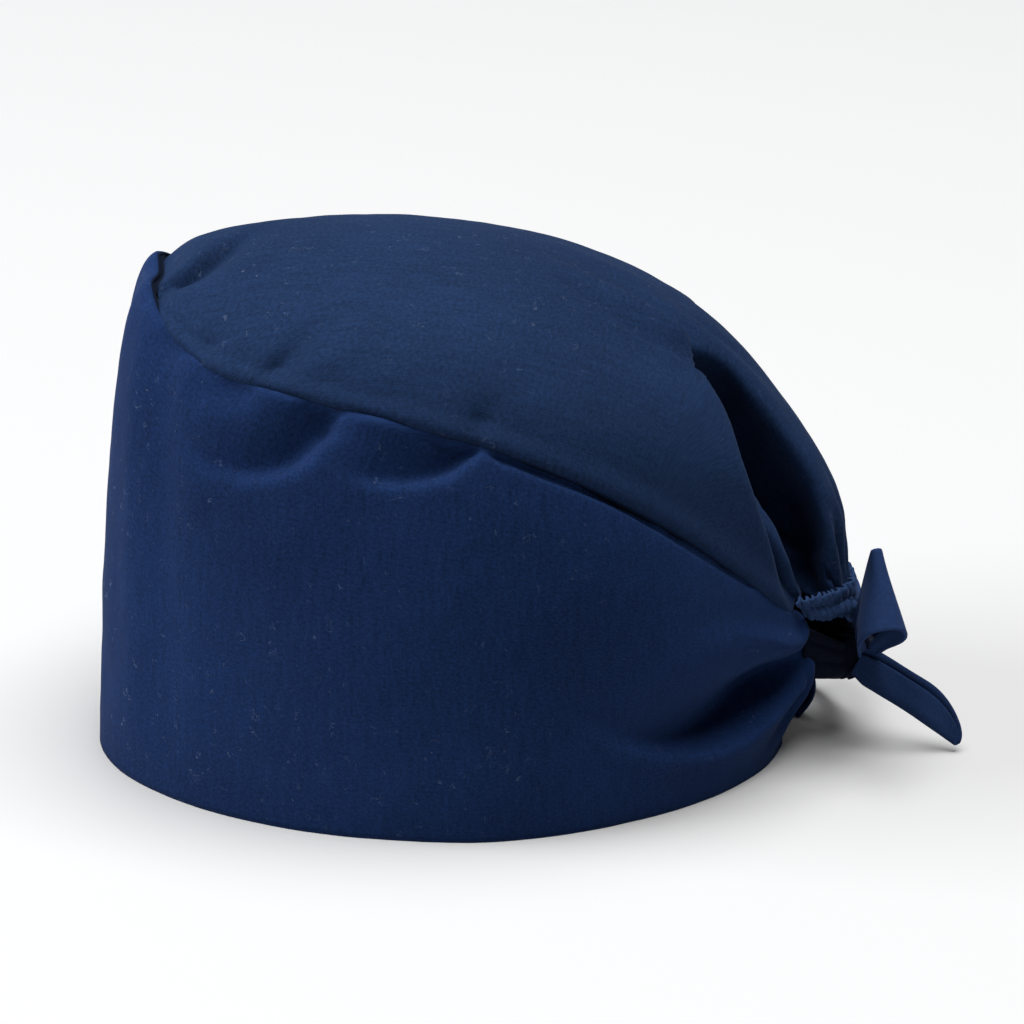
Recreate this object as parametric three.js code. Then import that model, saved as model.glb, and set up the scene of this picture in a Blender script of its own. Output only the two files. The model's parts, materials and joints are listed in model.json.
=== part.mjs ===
// A cloth cap with a gathered crown, a tall side band and a bow tied at the back.
// Millimetres. Up is +Z, the forehead faces -Y and the wearer's left side is +X. The rim stands on z = 0.
import * as THREE from 'three';

// Head opening: the rim is an oval, rounder in front than behind
const RIM_LENGTH = 215;
const RIM_WIDTH = 164;
const RIM_WIDEST_SHARE = 0.53;
const RIM_FRONT_FULLNESS = 1.95;
const RIM_BACK_FULLNESS = 1.75;

// Cloth
const CROWN_HEIGHT = 162;
const BAND_WALL = 1.8;
const CROWN_WALL = 1.4;
const SEAM_GAP = 1;
const SEAM_LAP = 5;
const LAP_SPREAD = 0.8;
const SEAM_TUCK = 2.2;
const SEAM_TUCK_FROM = 60;
const BACK_TUCK = 2.6;
const BACK_TUCK_ROWS = 2.5;
const BACK_CORNER_CUT = 3;
const BACK_CORNER_FROM = 60;
const FRONT_SEAM_FADE = 0.35;
const FRONT_TUCK_ROWS = 1;
const SIDE_SEAM_FADE = 18;
const RIDGE_SEAM_FADE = 26;
const RIDGE_SEAM_START = 6;
const BAND_EDGE_FADE = 0.06;
const CASING_FADE = 0.6;
const CASING_EDGE_SHARE = 0.3;

// Casing that gathers the crown's back edge over an elastic
const CASING_HEIGHT = 8.5;
const CASING_THICKNESS = 3.2;
const CASING_REACH = 77;
const CASING_GAP = 0.9;
const CASING_INSET = 0.8;
const CASING_RAISE = 0.6;
const CASING_RUFFLES = 9;
const CASING_RUFFLE_DEPTH = 0.7;
const CASING_LIP = 1.6;
const CASING_LIP_ROUND = 8;
const CASING_LIP_SPREAD = 18;
const CASING_STEPS_PER_RUFFLE = 4;
const CASING_STEPS_ROUND = 8;
const CASING_SQUARENESS = 0.8;

// Knot and ties
const TIE_WALL = 1.8;
const KNOT_FORWARD = 3;
const KNOT_BELOW = 15;
const KNOT_HALF_WIDTH = 7.5;
const KNOT_HALF_DEPTH = 8;
const KNOT_HALF_HEIGHT = 8.8;
const KNOT_WAIST = 0.16;
const KNOT_WAIST_REACH = 3;
const KNOT_SIDE_FULLNESS = 0.7;
const KNOT_SQUARENESS = 0.8;
const KNOT_END_SQUARENESS = 0.9;
const KNOT_END_SHARE = 0.06;
const KNOT_LEVELS = 10;
const KNOT_STEPS_ROUND = 16;
const TIE_GAP = 0.5;

// How finely the cloth is divided
const CROWN_STEPS_ACROSS = 32;
const BAND_STEPS_UP = 9;
const FOREHEAD_STEPS = 4;
const LAP_STEPS = 1;
const FOLD_PATH_STEPS = 8;

// How far a curved surface may fall away from a straight piece of a fold's path
const FOLD_SAG = 8;

// Centre line of the crown, from the front seam (first row) to the casing (last row): back and up are
// shares of the rim's length and the crown's height. fullness squares the arch between the centre line
// and the seam on either side, and steps is how often the cloth is divided up to the next row.
const CROWN_ROWS = [
  { back: 0.105, up: 0.93, fullness: 2, steps: 3 },
  { back: 0.165, up: 0.968, fullness: 2, steps: 3 },
  { back: 0.26, up: 0.99, fullness: 2, steps: 3 },
  { back: 0.375, up: 0.996, fullness: 2, steps: 3 },
  { back: 0.505, up: 0.982, fullness: 2.05, steps: 3 },
  { back: 0.635, up: 0.952, fullness: 2.1, steps: 4 },
  { back: 0.765, up: 0.893, fullness: 2.2, steps: 5 },
  { back: 0.885, up: 0.8, fullness: 2.2, steps: 6 },
  { back: 0.974, up: 0.662, fullness: 2.1, steps: 5 },
  { back: 1.049, up: 0.49, fullness: 2, steps: 4 },
  { back: 1.086, up: 0.262, fullness: 2, steps: 0 },
];

// Band, from the middle of the forehead (first row), past the front corner (second row) and round the
// side to its back end (last row). turn is the place on the rim in degrees from the front. wide, back
// and up place its seam with the crown, as shares of half the rim's width, the rim's length and the
// crown's height; the second row's seam is where the crown's first row begins. lowOut and highOut, in
// millimetres, lean the cloth out of a straight wall above the rim and below the seam; lowUp and highUp
// are where they act, as shares of the band's height there.
const BAND_ROWS = [
  { turn: 0, wide: 0, back: 0.105, up: 0.93, lowOut: -3, lowUp: 0.4, highOut: 16, highUp: 1 },
  { turn: 14, wide: 0.2, back: 0.101, up: 0.936, lowOut: -3, lowUp: 0.4, highOut: 15, highUp: 0.99 },
  { turn: 28, wide: 0.4, back: 0.128, up: 0.893, lowOut: -1, lowUp: 0.4, highOut: 14, highUp: 0.96 },
  { turn: 43, wide: 0.62, back: 0.195, up: 0.85, lowOut: 1, lowUp: 0.4, highOut: 13, highUp: 0.92 },
  { turn: 60, wide: 0.77, back: 0.3, up: 0.83, lowOut: 2, lowUp: 0.4, highOut: 13, highUp: 0.9 },
  { turn: 79, wide: 0.86, back: 0.44, up: 0.797, lowOut: 3, lowUp: 0.4, highOut: 13, highUp: 0.9 },
  { turn: 97, wide: 0.885, back: 0.577, up: 0.745, lowOut: 3, lowUp: 0.4, highOut: 13, highUp: 0.9 },
  { turn: 115, wide: 0.85, back: 0.705, up: 0.668, lowOut: 3, lowUp: 0.4, highOut: 12, highUp: 0.9 },
  { turn: 131, wide: 0.735, back: 0.808, up: 0.57, lowOut: 3, lowUp: 0.38, highOut: 11, highUp: 0.9 },
  { turn: 146, wide: 0.565, back: 0.895, up: 0.462, lowOut: 3, lowUp: 0.35, highOut: 9, highUp: 0.88 },
  { turn: 159, wide: 0.4, back: 0.955, up: 0.372, lowOut: 2.5, lowUp: 0.32, highOut: 8, highUp: 0.85 },
  { turn: 171, wide: 0.25, back: 0.998, up: 0.303, lowOut: 5, lowUp: 0.3, highOut: 8, highUp: 0.8 },
];

// Folds of the crown. fromRow and toRow count the rows above; fromRound and toRound are degrees from the
// middle of the crown (90 is the left seam, -90 the right one), and the via pair bends the fold.
// width is millimetres from crest to foot, startLift and endLift how far the cloth stands out (or in,
// below zero), and lean from -1 to 1 makes the side before or after the fold the steeper one.
const CROWN_FOLDS = [
  // deep fold behind the left side, with the lobe in front of it standing over it
  { fromRow: 6.6, fromRound: 16, viaRow: 7.4, viaRound: 40, toRow: 8.1, toRound: 54,
    width: 9.5, startLift: -4, endLift: -16, lean: -0.45 },
  { fromRow: 8.1, fromRound: 54, viaRow: 8.8, viaRound: 62, toRow: 9.8, toRound: 68,
    width: 8, startLift: -16, endLift: -5, lean: -0.3 },
  { fromRow: 6.4, fromRound: 26, viaRow: 7.2, viaRound: 52, toRow: 7.9, toRound: 70,
    width: 8, startLift: 0.5, endLift: 3.4, lean: 0.2 },
  { fromRow: 7.9, fromRound: 70, viaRow: 8.5, viaRound: 76, toRow: 9.3, toRound: 81,
    width: 6, startLift: 3.4, endLift: 1, lean: 0.2 },
  // the same fold on the right side, shallower
  { fromRow: 7, fromRound: -30, viaRow: 7.7, viaRound: -55, toRow: 9.2, toRound: -68,
    width: 9, startLift: -2, endLift: -8, lean: 0.3 },
  // ridges that fan forwards from the top of the deep fold
  { fromRow: 5.2, fromRound: 5, viaRow: 5.9, viaRound: 12, toRow: 6.6, toRound: 15,
    width: 7, startLift: 0.8, endLift: 2.2, lean: 0 },
  { fromRow: 5.4, fromRound: -12, viaRow: 6, viaRound: -3, toRow: 6.7, toRound: 6,
    width: 7, startLift: 0.8, endLift: 2, lean: 0 },
  { fromRow: 5.6, fromRound: 30, viaRow: 6, viaRound: 30, toRow: 6.5, toRound: 33,
    width: 13, startLift: -1.5, endLift: -3, lean: 0 },
  // lobe behind the deep fold, and gathers that run down it into the casing
  { fromRow: 6.9, fromRound: 14, viaRow: 7.8, viaRound: 12, toRow: 8.8, toRound: 14,
    width: 15, startLift: 2, endLift: 3, lean: 0 },
  { fromRow: 8, fromRound: 52, viaRow: 8.9, viaRound: 57, toRow: 10, toRound: 66,
    width: 5, startLift: 1, endLift: 2.5, lean: 0 },
  { fromRow: 8.6, fromRound: 30, viaRow: 9.3, viaRound: 36, toRow: 10, toRound: 44,
    width: 5, startLift: -1, endLift: -3, lean: 0 },
  { fromRow: 8.8, fromRound: 4, viaRow: 9.4, viaRound: 8, toRow: 10, toRound: 10,
    width: 5, startLift: -0.5, endLift: -2.5, lean: 0 },
  { fromRow: 8.6, fromRound: -26, viaRow: 9.3, viaRound: -28, toRow: 10, toRound: -30,
    width: 6, startLift: -1, endLift: -3, lean: 0 },
  { fromRow: 8.6, fromRound: -52, viaRow: 9.3, viaRound: -56, toRow: 10, toRound: -60,
    width: 6, startLift: -1, endLift: -3, lean: 0 },
  // pleats that start at the front seam
  { fromRow: 0.3, fromRound: 10, viaRow: 1, viaRound: -12, toRow: 1.8, toRound: -34,
    width: 6, startLift: -2.5, endLift: -0.5, lean: 0.3 },
  { fromRow: 2.6, fromRound: 84, viaRow: 2.8, viaRound: 68, toRow: 3.1, toRound: 48,
    width: 8, startLift: -2.6, endLift: -0.4, lean: 0 },
  { fromRow: 1.6, fromRound: 80, viaRow: 1.7, viaRound: 70, toRow: 1.9, toRound: 58,
    width: 6, startLift: -1.6, endLift: -0.3, lean: 0 },
  { fromRow: 4.6, fromRound: 86, viaRow: 4.7, viaRound: 80, toRow: 4.8, toRound: 70,
    width: 6, startLift: -2, endLift: -0.3, lean: 0 },
  { fromRow: 2.8, fromRound: -84, viaRow: 3.1, viaRound: -66, toRow: 3.5, toRound: -46,
    width: 9, startLift: -2.6, endLift: -0.4, lean: 0 },
];

// Folds of the band. fromRow and toRow count the band's rows, below zero on the right side; fromUp and
// toUp are shares of the height from the rim to the seam. The other columns are as for the crown.
const BAND_FOLDS = [
  // pucker under the front half of the seam: a hollow above a curved ridge
  { fromRow: 3, fromUp: 0.79, viaRow: 3.7, viaUp: 0.82, toRow: 4.35, toUp: 0.91,
    width: 11, startLift: -1.5, endLift: -3, lean: 0 },
  { fromRow: 3.2, fromUp: 0.69, viaRow: 4, viaUp: 0.7, toRow: 4.5, toUp: 0.93,
    width: 7, startLift: 0.8, endLift: 2.6, lean: 0.2 },
  // second pucker, further back
  { fromRow: 4.7, fromUp: 0.83, viaRow: 5.1, viaUp: 0.86, toRow: 5.6, toUp: 0.92,
    width: 9, startLift: -1.5, endLift: -2.2, lean: 0 },
  { fromRow: 4.9, fromUp: 0.74, viaRow: 5.4, viaUp: 0.81, toRow: 5.85, toUp: 0.94,
    width: 7, startLift: 0.6, endLift: 1.8, lean: 0.2 },
  // cloth drawn in along the back half of the seam
  { fromRow: 6, fromUp: 0.84, viaRow: 7.8, viaUp: 0.78, toRow: 9.8, toUp: 0.74,
    width: 5, startLift: -0.8, endLift: -1.2, lean: 0 },
  // upright crease beside the forehead
  { fromRow: 1.8, fromUp: 0.9, viaRow: 2.3, viaUp: 0.55, toRow: 2.45, toUp: 0.1,
    width: 7, startLift: -1.4, endLift: -0.6, lean: 0 },
  { fromRow: -1.8, fromUp: 0.9, viaRow: -2.3, viaUp: 0.55, toRow: -2.45, toUp: 0.1,
    width: 7, startLift: -1.4, endLift: -0.6, lean: 0 },
  // dent at the back end with the turned edge standing round it
  { fromRow: 7.6, fromUp: 0.26, viaRow: 9, viaUp: 0.25, toRow: 10.3, toUp: 0.47,
    width: 9.5, startLift: -3, endLift: -8, lean: -0.4 },
  { fromRow: 7.6, fromUp: 0.36, viaRow: 9, viaUp: 0.5, toRow: 10.6, toUp: 0.72,
    width: 9, startLift: 0.4, endLift: 2.4, lean: 0 },
  { fromRow: 9.4, fromUp: 0.12, viaRow: 10.6, viaUp: 0.24, toRow: 11, toUp: 0.5,
    width: 6, startLift: 0.5, endLift: 1.5, lean: 0 },
  // softer folds of the right side
  { fromRow: -3.4, fromUp: 0.86, viaRow: -4.2, viaUp: 0.84, toRow: -5, toUp: 0.92,
    width: 11, startLift: -1.6, endLift: -2.2, lean: 0 },
  { fromRow: -7.8, fromUp: 0.3, viaRow: -9, viaUp: 0.34, toRow: -10.4, toUp: 0.52,
    width: 10, startLift: -1.2, endLift: -3.4, lean: 0 },
];

// Bow loops, placed from the middle of the knot. The loop leaves the knot at root, its fold lies at tip,
// and the strap's width runs along across. spread is half the space between its two plies, and pinch the
// share by which it closes towards the upper edge and opens towards the lower one; the half widths are at
// the knot and the fold.
const LOOPS = [
  { name: 'bow_loop_left', root: [5.9, 6.1, 4.5], tip: [31, 8.8, 32.5], across: [0.69, 0.24, -0.69],
    spread: 4.4, pinch: 0.75, rootHalfWidth: 5.5, tipHalfWidth: 12.5, steps: 14 },
  { name: 'bow_loop_right', root: [-6.1, 3.9, 2.7], tip: [-38, -4, 2], across: [0.08, 0.1, 1],
    spread: 4.4, pinch: 0.2, rootHalfWidth: 5.5, tipHalfWidth: 10.5, steps: 12 },
];
const LOOP_CLOSING = 0.94;
const LOOP_WIDENING = 1.15;

// Tails, placed from the middle of the knot: the strap folded along its length. Its path runs from root by
// bend to tip, and side is the way its near ply faces. bodyHeight is the folded strap's height and
// pointLength the length of its point.
const TAILS = [
  { name: 'tie_tail_left', root: [8, 3.8, -0.5], bend: [12.5, 21.5, -8], tip: [15, 37, -20.5],
    side: [1, 0.1, 0.1], bodyHeight: 10.8, pointLength: 10 },
  { name: 'tie_tail_right', root: [-6.6, 3.2, -6], bend: [-24, 1, -18], tip: [-50, -19, -21.5],
    side: [-0.6, 0.8, 0.1], bodyHeight: 9.6, pointLength: 9 },
];
const TAIL_THICKNESS = 3.6;
const TAIL_GROOVE = 0.9;
const TAIL_STEPS = 10;
const TAIL_POINT_BLUNTNESS = 0.12;
const TAIL_POINT_GROWTH = 0.9;
const TAIL_POINT_DROP = 0.6;
const TAIL_ROOT_SHARE = 0.75;
const TAIL_ROOT_GROWTH = 2;

// Tie roots: the ends of the band's binding drawn into the knot
const ROOT_THICKNESS = 3;
const ROOT_BAND_HALF_HEIGHT = 7;
const ROOT_KNOT_HALF_HEIGHT = 5;
const ROOT_UP = 0.62;
const ROOT_GAP = 2;
const ROOT_FORWARD = 1.5;
const ROOT_SAG = 1;
const ROOT_UP_REACH = 0.15;
const ROOT_STEPS = 4;

const CROWN_COLOUR = 0x223152;
const BAND_COLOUR = 0x202e4d;
const TIE_COLOUR = 0x203050;

const LAST_CROWN_ROW = CROWN_ROWS.length - 1;
const LAST_BAND_ROW = BAND_ROWS.length - 1;
const HALF_WIDTH = RIM_WIDTH / 2;
const UP = new THREE.Vector3(0, 0, 1);
const SMALL_STEP = 0.02;
const EDGE_ROWS = 0.3;

// Numbers along a smooth curve through one column of a table
function column(rows, name, at) {
  const last = rows.length - 1;
  const place = Math.min(Math.max(at, 0), last);
  const row = Math.min(Math.floor(place), last - 1);
  const share = place - row;
  const here = rows[row][name];
  const next = rows[row + 1][name];
  const before = row > 0 ? rows[row - 1][name] : 2 * here - next;
  const after = row < last - 1 ? rows[row + 2][name] : 2 * next - here;
  const bend = 2 * before - 5 * here + 4 * next - after + share * (3 * (here - next) + after - before);
  return here + 0.5 * share * (next - before + share * bend);
}

// A column that is the same on both sides, so it runs level across the middle of the forehead
function frontEven(name, row) {
  if (row >= 1) return column(BAND_ROWS, name, row);
  const middle = BAND_ROWS[0][name];
  const rise = BAND_ROWS[1][name] - middle;
  const slope = (BAND_ROWS[2][name] - middle) / 2;
  return middle + (3 * rise - slope) * row ** 2 + (slope - 2 * rise) * row ** 3;
}

// The seam's way out from the middle of the forehead to the corner, as a share, without a kink there
function frontShare(row) {
  const slope = (BAND_ROWS[2].wide - BAND_ROWS[0].wide) / 2 / BAND_ROWS[1].wide;
  return row * (1 + ((slope - 1) / 2) * (row ** 2 + row - 1));
}

function smooth(share) {
  const s = Math.min(Math.max(share, 0), 1);
  return s * s * (3 - 2 * s);
}

function signedPower(value, power) {
  return Math.sign(value) * Math.abs(value) ** power;
}

function backToY(share) {
  return (share - 0.5) * RIM_LENGTH;
}

const KNOT_CENTRE = new THREE.Vector3(
  0,
  backToY(CROWN_ROWS[LAST_CROWN_ROW].back) - KNOT_FORWARD,
  CROWN_ROWS[LAST_CROWN_ROW].up * CROWN_HEIGHT - KNOT_BELOW,
);

// A place given from the middle of the knot
function fromKnot(place) {
  return new THREE.Vector3(...place).add(KNOT_CENTRE);
}

function radians(degrees) {
  return (degrees * Math.PI) / 180;
}

// The places of a table's rows with the steps between them
function placesAlong(rows) {
  const places = [];
  rows.forEach((row, index) => {
    for (let step = 0; step < row.steps; step += 1) places.push(index + step / row.steps);
  });
  places.push(rows.length - 1);
  return places;
}

// The seam's path on the left side for band rows above zero, and on the right side below
function seamPoint(bandRow) {
  const row = Math.abs(bandRow);
  const out = row < 1 ? BAND_ROWS[1].wide * frontShare(row) : column(BAND_ROWS, 'wide', row);
  return new THREE.Vector3(
    (bandRow < 0 ? -1 : 1) * out * HALF_WIDTH,
    backToY(frontEven('back', row)),
    frontEven('up', row) * CROWN_HEIGHT,
  );
}

// Crown without folds: an arch from seam to seam over the centre line. Towards the front it settles
// on the seam across the forehead. inset moves the seam points inwards by the given vector.
function crownArch(row, round, inset) {
  const centreY = backToY(column(CROWN_ROWS, 'back', row));
  const centreZ = column(CROWN_ROWS, 'up', row) * CROWN_HEIGHT;
  const seam = seamPoint(row + 1).sub(inset);
  const power = 2 / column(CROWN_ROWS, 'fullness', row);
  const angle = radians(round);
  const rise = Math.max(Math.cos(angle), 0) ** power;
  const point = new THREE.Vector3(
    signedPower(Math.sin(angle), power) * seam.x,
    seam.y + rise * (centreY - seam.y),
    seam.z + rise * (centreZ - seam.z),
  );
  if (row < 1) {
    const front = seamPoint(1);
    const arch = new THREE.Vector3(
      Math.sin(angle) * front.x,
      front.y + Math.cos(angle) * (seamPoint(0).y - front.y),
      front.z + Math.cos(angle) * (seamPoint(0).z - front.z),
    );
    point.addScaledVector(seamPoint(round / 90).sub(arch), 1 - smooth(row));
  }
  return point;
}

const NO_INSET = new THREE.Vector3();

function rimPoint(turn) {
  const angle = radians(turn);
  const forward = Math.cos(angle);
  const middle = backToY(RIM_WIDEST_SHARE);
  const fullness = forward > 0 ? RIM_FRONT_FULLNESS : RIM_BACK_FULLNESS;
  const reach = forward > 0 ? middle + RIM_LENGTH / 2 : RIM_LENGTH / 2 - middle;
  const x = HALF_WIDTH * signedPower(Math.sin(angle), 2 / fullness);
  const y = middle - reach * signedPower(forward, 2 / fullness);
  return new THREE.Vector3(x, y, 0);
}

// Level direction straight out of the rim's oval
function rimOutward(turn) {
  const point = rimPoint(turn);
  const across = point.x / HALF_WIDTH ** 2;
  const along = (point.y - backToY(RIM_WIDEST_SHARE)) / (RIM_LENGTH / 2) ** 2;
  return new THREE.Vector3(across, along, 0).normalize();
}

// Band without folds, on the left side for rows above zero; up runs from the rim to the seam
function bandWall(signedRow, up) {
  const row = Math.abs(signedRow);
  const foot = rimPoint(column(BAND_ROWS, 'turn', row));
  const out = rimOutward(column(BAND_ROWS, 'turn', row));
  const head = seamPoint(row);
  const low = foot.clone().addScaledVector(out, column(BAND_ROWS, 'lowOut', row));
  low.z = head.z * column(BAND_ROWS, 'lowUp', row);
  const high = head.clone().addScaledVector(out, column(BAND_ROWS, 'highOut', row));
  high.z = head.z * column(BAND_ROWS, 'highUp', row);
  const down = 1 - up;
  const point = foot.multiplyScalar(down ** 3)
    .addScaledVector(low, 3 * up * down ** 2)
    .addScaledVector(high, 3 * up ** 2 * down)
    .addScaledVector(head, up ** 3);
  if (signedRow < 0) point.x = -point.x;
  return point;
}

// Outward direction of a surface given by two numbers, from four points close round the place
function outwardOf(surface, first, second) {
  const along = surface(first + SMALL_STEP, second).sub(surface(first - SMALL_STEP, second));
  const across = surface(first, second + SMALL_STEP).sub(surface(first, second - SMALL_STEP));
  return along.cross(across).normalize();
}

function bandOutward(row, up) {
  const inside = Math.min(Math.max(row, SMALL_STEP - LAST_BAND_ROW), LAST_BAND_ROW - SMALL_STEP);
  return outwardOf(bandWall, inside, up);
}

// A fold's path on its surface, from its first point by its bend to its last
function foldPath(surface, fold, secondName) {
  const points = [];
  for (let step = 0; step <= FOLD_PATH_STEPS; step += 1) {
    const share = step / FOLD_PATH_STEPS;
    const row = bendBetween(fold.fromRow, fold.viaRow, fold.toRow, share);
    const [from, via, to] = ['from', 'via', 'to'].map((end) => fold[end + secondName]);
    points.push(surface(row, bendBetween(from, via, to, share)));
  }
  return { ...fold, points };
}

function bendBetween(start, via, end, share) {
  const rest = 1 - share;
  const handle = 2 * via - (start + end) / 2;
  return rest * rest * start + 2 * rest * share * handle + share * share * end;
}

// How far one fold lifts the cloth at a point of its surface
function foldLift(path, point, outward) {
  let best = { distance: Infinity, share: 0, side: 0 };
  const last = path.points.length - 1;
  for (let index = 0; index < last; index += 1) {
    const start = path.points[index];
    const along = path.points[index + 1].clone().sub(start);
    const share = Math.min(Math.max(point.clone().sub(start).dot(along) / along.lengthSq(), 0), 1);
    const gap = point.clone().sub(start).addScaledVector(along, -share);
    const through = gap.dot(outward);
    gap.addScaledVector(outward, -Math.sign(through) * Math.min(Math.abs(through), FOLD_SAG));
    const distance = gap.length();
    if (distance < best.distance) {
      const side = Math.sign(gap.dot(outward.clone().cross(along)));
      best = { distance, share: (index + share) / last, side };
    }
  }
  const width = path.width * (1 - path.lean * best.side);
  const lift = path.startLift + (path.endLift - path.startLift) * best.share;
  return lift * Math.exp(-((best.distance / width) ** 2));
}

// Where folds meet, the deepest hollow and the highest ridge count once each
function liftOf(paths, point, outward, ridgeShare) {
  let hollow = 0;
  let ridge = 0;
  paths.forEach((path) => {
    const lift = foldLift(path, point, outward);
    hollow = Math.min(hollow, lift);
    ridge = Math.max(ridge, lift);
  });
  return hollow + ridge * ridgeShare;
}

const crownBase = (row, round) => crownArch(row, round, NO_INSET);
const crownPaths = CROWN_FOLDS.map((fold) => foldPath(crownBase, fold, 'Round'));
const bandPaths = BAND_FOLDS.map((fold) => foldPath(bandWall, fold, 'Up'));

function bandFolded(row, up) {
  const point = bandWall(row, up);
  const outward = bandOutward(row, up);
  const fade = smooth(up / BAND_EDGE_FADE / 2) * smooth((1 - up) / BAND_EDGE_FADE);
  return point.addScaledVector(outward, fade * liftOf(bandPaths, point, outward, 1));
}

// A point of the crown's hidden edge, which lies inside the band a given depth below the seam
function lapPoint(row, depth) {
  const height = bandWall(row, 1).z;
  const up = 1 - depth / height;
  const outward = bandOutward(row, up);
  const inwards = BAND_WALL + SEAM_GAP + (LAP_SPREAD * depth) / SEAM_LAP;
  return bandFolded(row, up).addScaledVector(outward, -inwards);
}

// The row where the crown stops above the casing
function crownRowAt(share, round) {
  const rowLength = 2 * crownBase(LAST_CROWN_ROW, round).distanceTo(crownBase(LAST_CROWN_ROW - 0.5, round));
  const corner = smooth((Math.abs(round) - BACK_CORNER_FROM) / (90 - BACK_CORNER_FROM));
  const below = CASING_RAISE + CASING_HEIGHT + CASING_GAP;
  const short = (below + BACK_CORNER_CUT * corner) / rowLength;
  return share - short * smooth((share - LAST_CROWN_ROW + 3) / 3);
}

function crownFolded(rowShare, round) {
  const row = crownRowAt(rowShare, round);
  const side = Math.sign(round);
  if (Math.abs(round) >= 90) return lapPoint(side * (row + 1), 0);
  if (row <= 0) return lapPoint(round / 90, 0);
  const inset = bandOutward(row + 1, 1).multiplyScalar(BAND_WALL + SEAM_GAP);
  const point = crownArch(row, round, inset);
  const base = crownBase(row, round);
  const outward = outwardOf(crownBase, row, round).negate();
  const atCasing = CASING_EDGE_SHARE + (1 - CASING_EDGE_SHARE) * smooth((LAST_CROWN_ROW - row) / CASING_FADE);
  const fade = atCasing * smooth(row / FRONT_SEAM_FADE) * smooth((90 - Math.abs(round)) / SIDE_SEAM_FADE);
  const besideTuck = smooth((Math.abs(round) - SEAM_TUCK_FROM) / (90 - SEAM_TUCK_FROM));
  const frontTuck = 1 - smooth(row / FRONT_TUCK_ROWS);
  const backTuck = BACK_TUCK * smooth((row - LAST_CROWN_ROW + BACK_TUCK_ROWS) / BACK_TUCK_ROWS);
  point.addScaledVector(bandOutward(side * (row + 1), 1), -(SEAM_TUCK + backTuck) * besideTuck);
  point.addScaledVector(bandOutward(round / 90, 1), -SEAM_TUCK * frontTuck * (1 - besideTuck));
  const ridgeShare = smooth((90 - RIDGE_SEAM_START - Math.abs(round)) / RIDGE_SEAM_FADE);
  return point.addScaledVector(outward, fade * liftOf(crownPaths, base, outward, ridgeShare));
}

// Turns four-sided facets into a closed body. Every facet is [a, b, c, d], anticlockwise from outside.
function bodyOf(points, facets) {
  const positions = [];
  points.forEach((point) => positions.push(point.x, point.y, point.z));
  const index = [];
  facets.forEach(([a, b, c, d]) => {
    if (d === undefined) {
      index.push(a, b, c);
      return;
    }
    const straight = points[a].distanceTo(points[c]) <= points[b].distanceTo(points[d]);
    if (straight) index.push(a, b, c, a, c, d);
    else index.push(a, b, d, b, c, d);
  });
  const geometry = new THREE.BufferGeometry();
  geometry.setAttribute('position', new THREE.Float32BufferAttribute(positions, 3));
  geometry.setIndex(index);
  geometry.computeVertexNormals();
  return geometry;
}

// Gives an open sheet its thickness inwards and closes it along its edges. Points on the ground stay there.
function clothBody(points, facets, wall) {
  const normals = points.map(() => new THREE.Vector3());
  facets.forEach((corners) => {
    const [a, b, c, d] = corners.map((corner) => points[corner]);
    const facing = c.clone().sub(a).cross(d.clone().sub(b));
    corners.forEach((corner) => normals[corner].add(facing));
  });
  const inner = points.map((point, index) => {
    const inwards = point.clone().addScaledVector(normals[index].normalize(), -wall);
    if (point.z === 0) inwards.z = 0;
    return inwards;
  });
  const count = points.length;
  const edges = new Map();
  facets.forEach((corners) => {
    corners.forEach((corner, place) => {
      const next = corners[(place + 1) % corners.length];
      if (edges.has(`${next} ${corner}`)) edges.delete(`${next} ${corner}`);
      else edges.set(`${corner} ${next}`, [corner, next]);
    });
  });
  const all = facets.map((corners) => corners.slice());
  facets.forEach((corners) => all.push(corners.map((corner) => corner + count).reverse()));
  edges.forEach(([start, end]) => all.push([end, start, start + count, end + count]));
  return bodyOf(points.concat(inner), all);
}

function middleOf(ring) {
  return ring.reduce((sum, point) => sum.add(point), new THREE.Vector3()).divideScalar(ring.length);
}

// Direction a ring of points faces when its points turn anticlockwise
function ringFacing(ring) {
  const middle = middleOf(ring);
  const facing = new THREE.Vector3();
  ring.forEach((point, place) => {
    const next = ring[(place + 1) % ring.length];
    facing.add(point.clone().sub(middle).cross(next.clone().sub(middle)));
  });
  return facing.normalize();
}

// A closed body through rings of points; each end is closed by facets to its middle
function ringBody(given) {
  const heading = middleOf(given[1]).sub(middleOf(given[0]));
  const rings = ringFacing(given[0]).dot(heading) > 0 ? given : given.map((ring) => ring.slice().reverse());
  const size = rings[0].length;
  const points = rings.flat();
  const facets = [];
  for (let ring = 0; ring < rings.length - 1; ring += 1) {
    for (let place = 0; place < size; place += 1) {
      const next = (place + 1) % size;
      const here = ring * size;
      facets.push([here + place, here + next, here + size + next, here + size + place]);
    }
  }
  const lastRing = (rings.length - 1) * size;
  for (let place = 0; place < size; place += 1) {
    const next = (place + 1) % size;
    facets.push([points.length, next, place]);
    facets.push([points.length + 1, lastRing + place, lastRing + next]);
  }
  return bodyOf(points.concat([middleOf(rings[0]), middleOf(rings.at(-1))]), facets);
}

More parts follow.
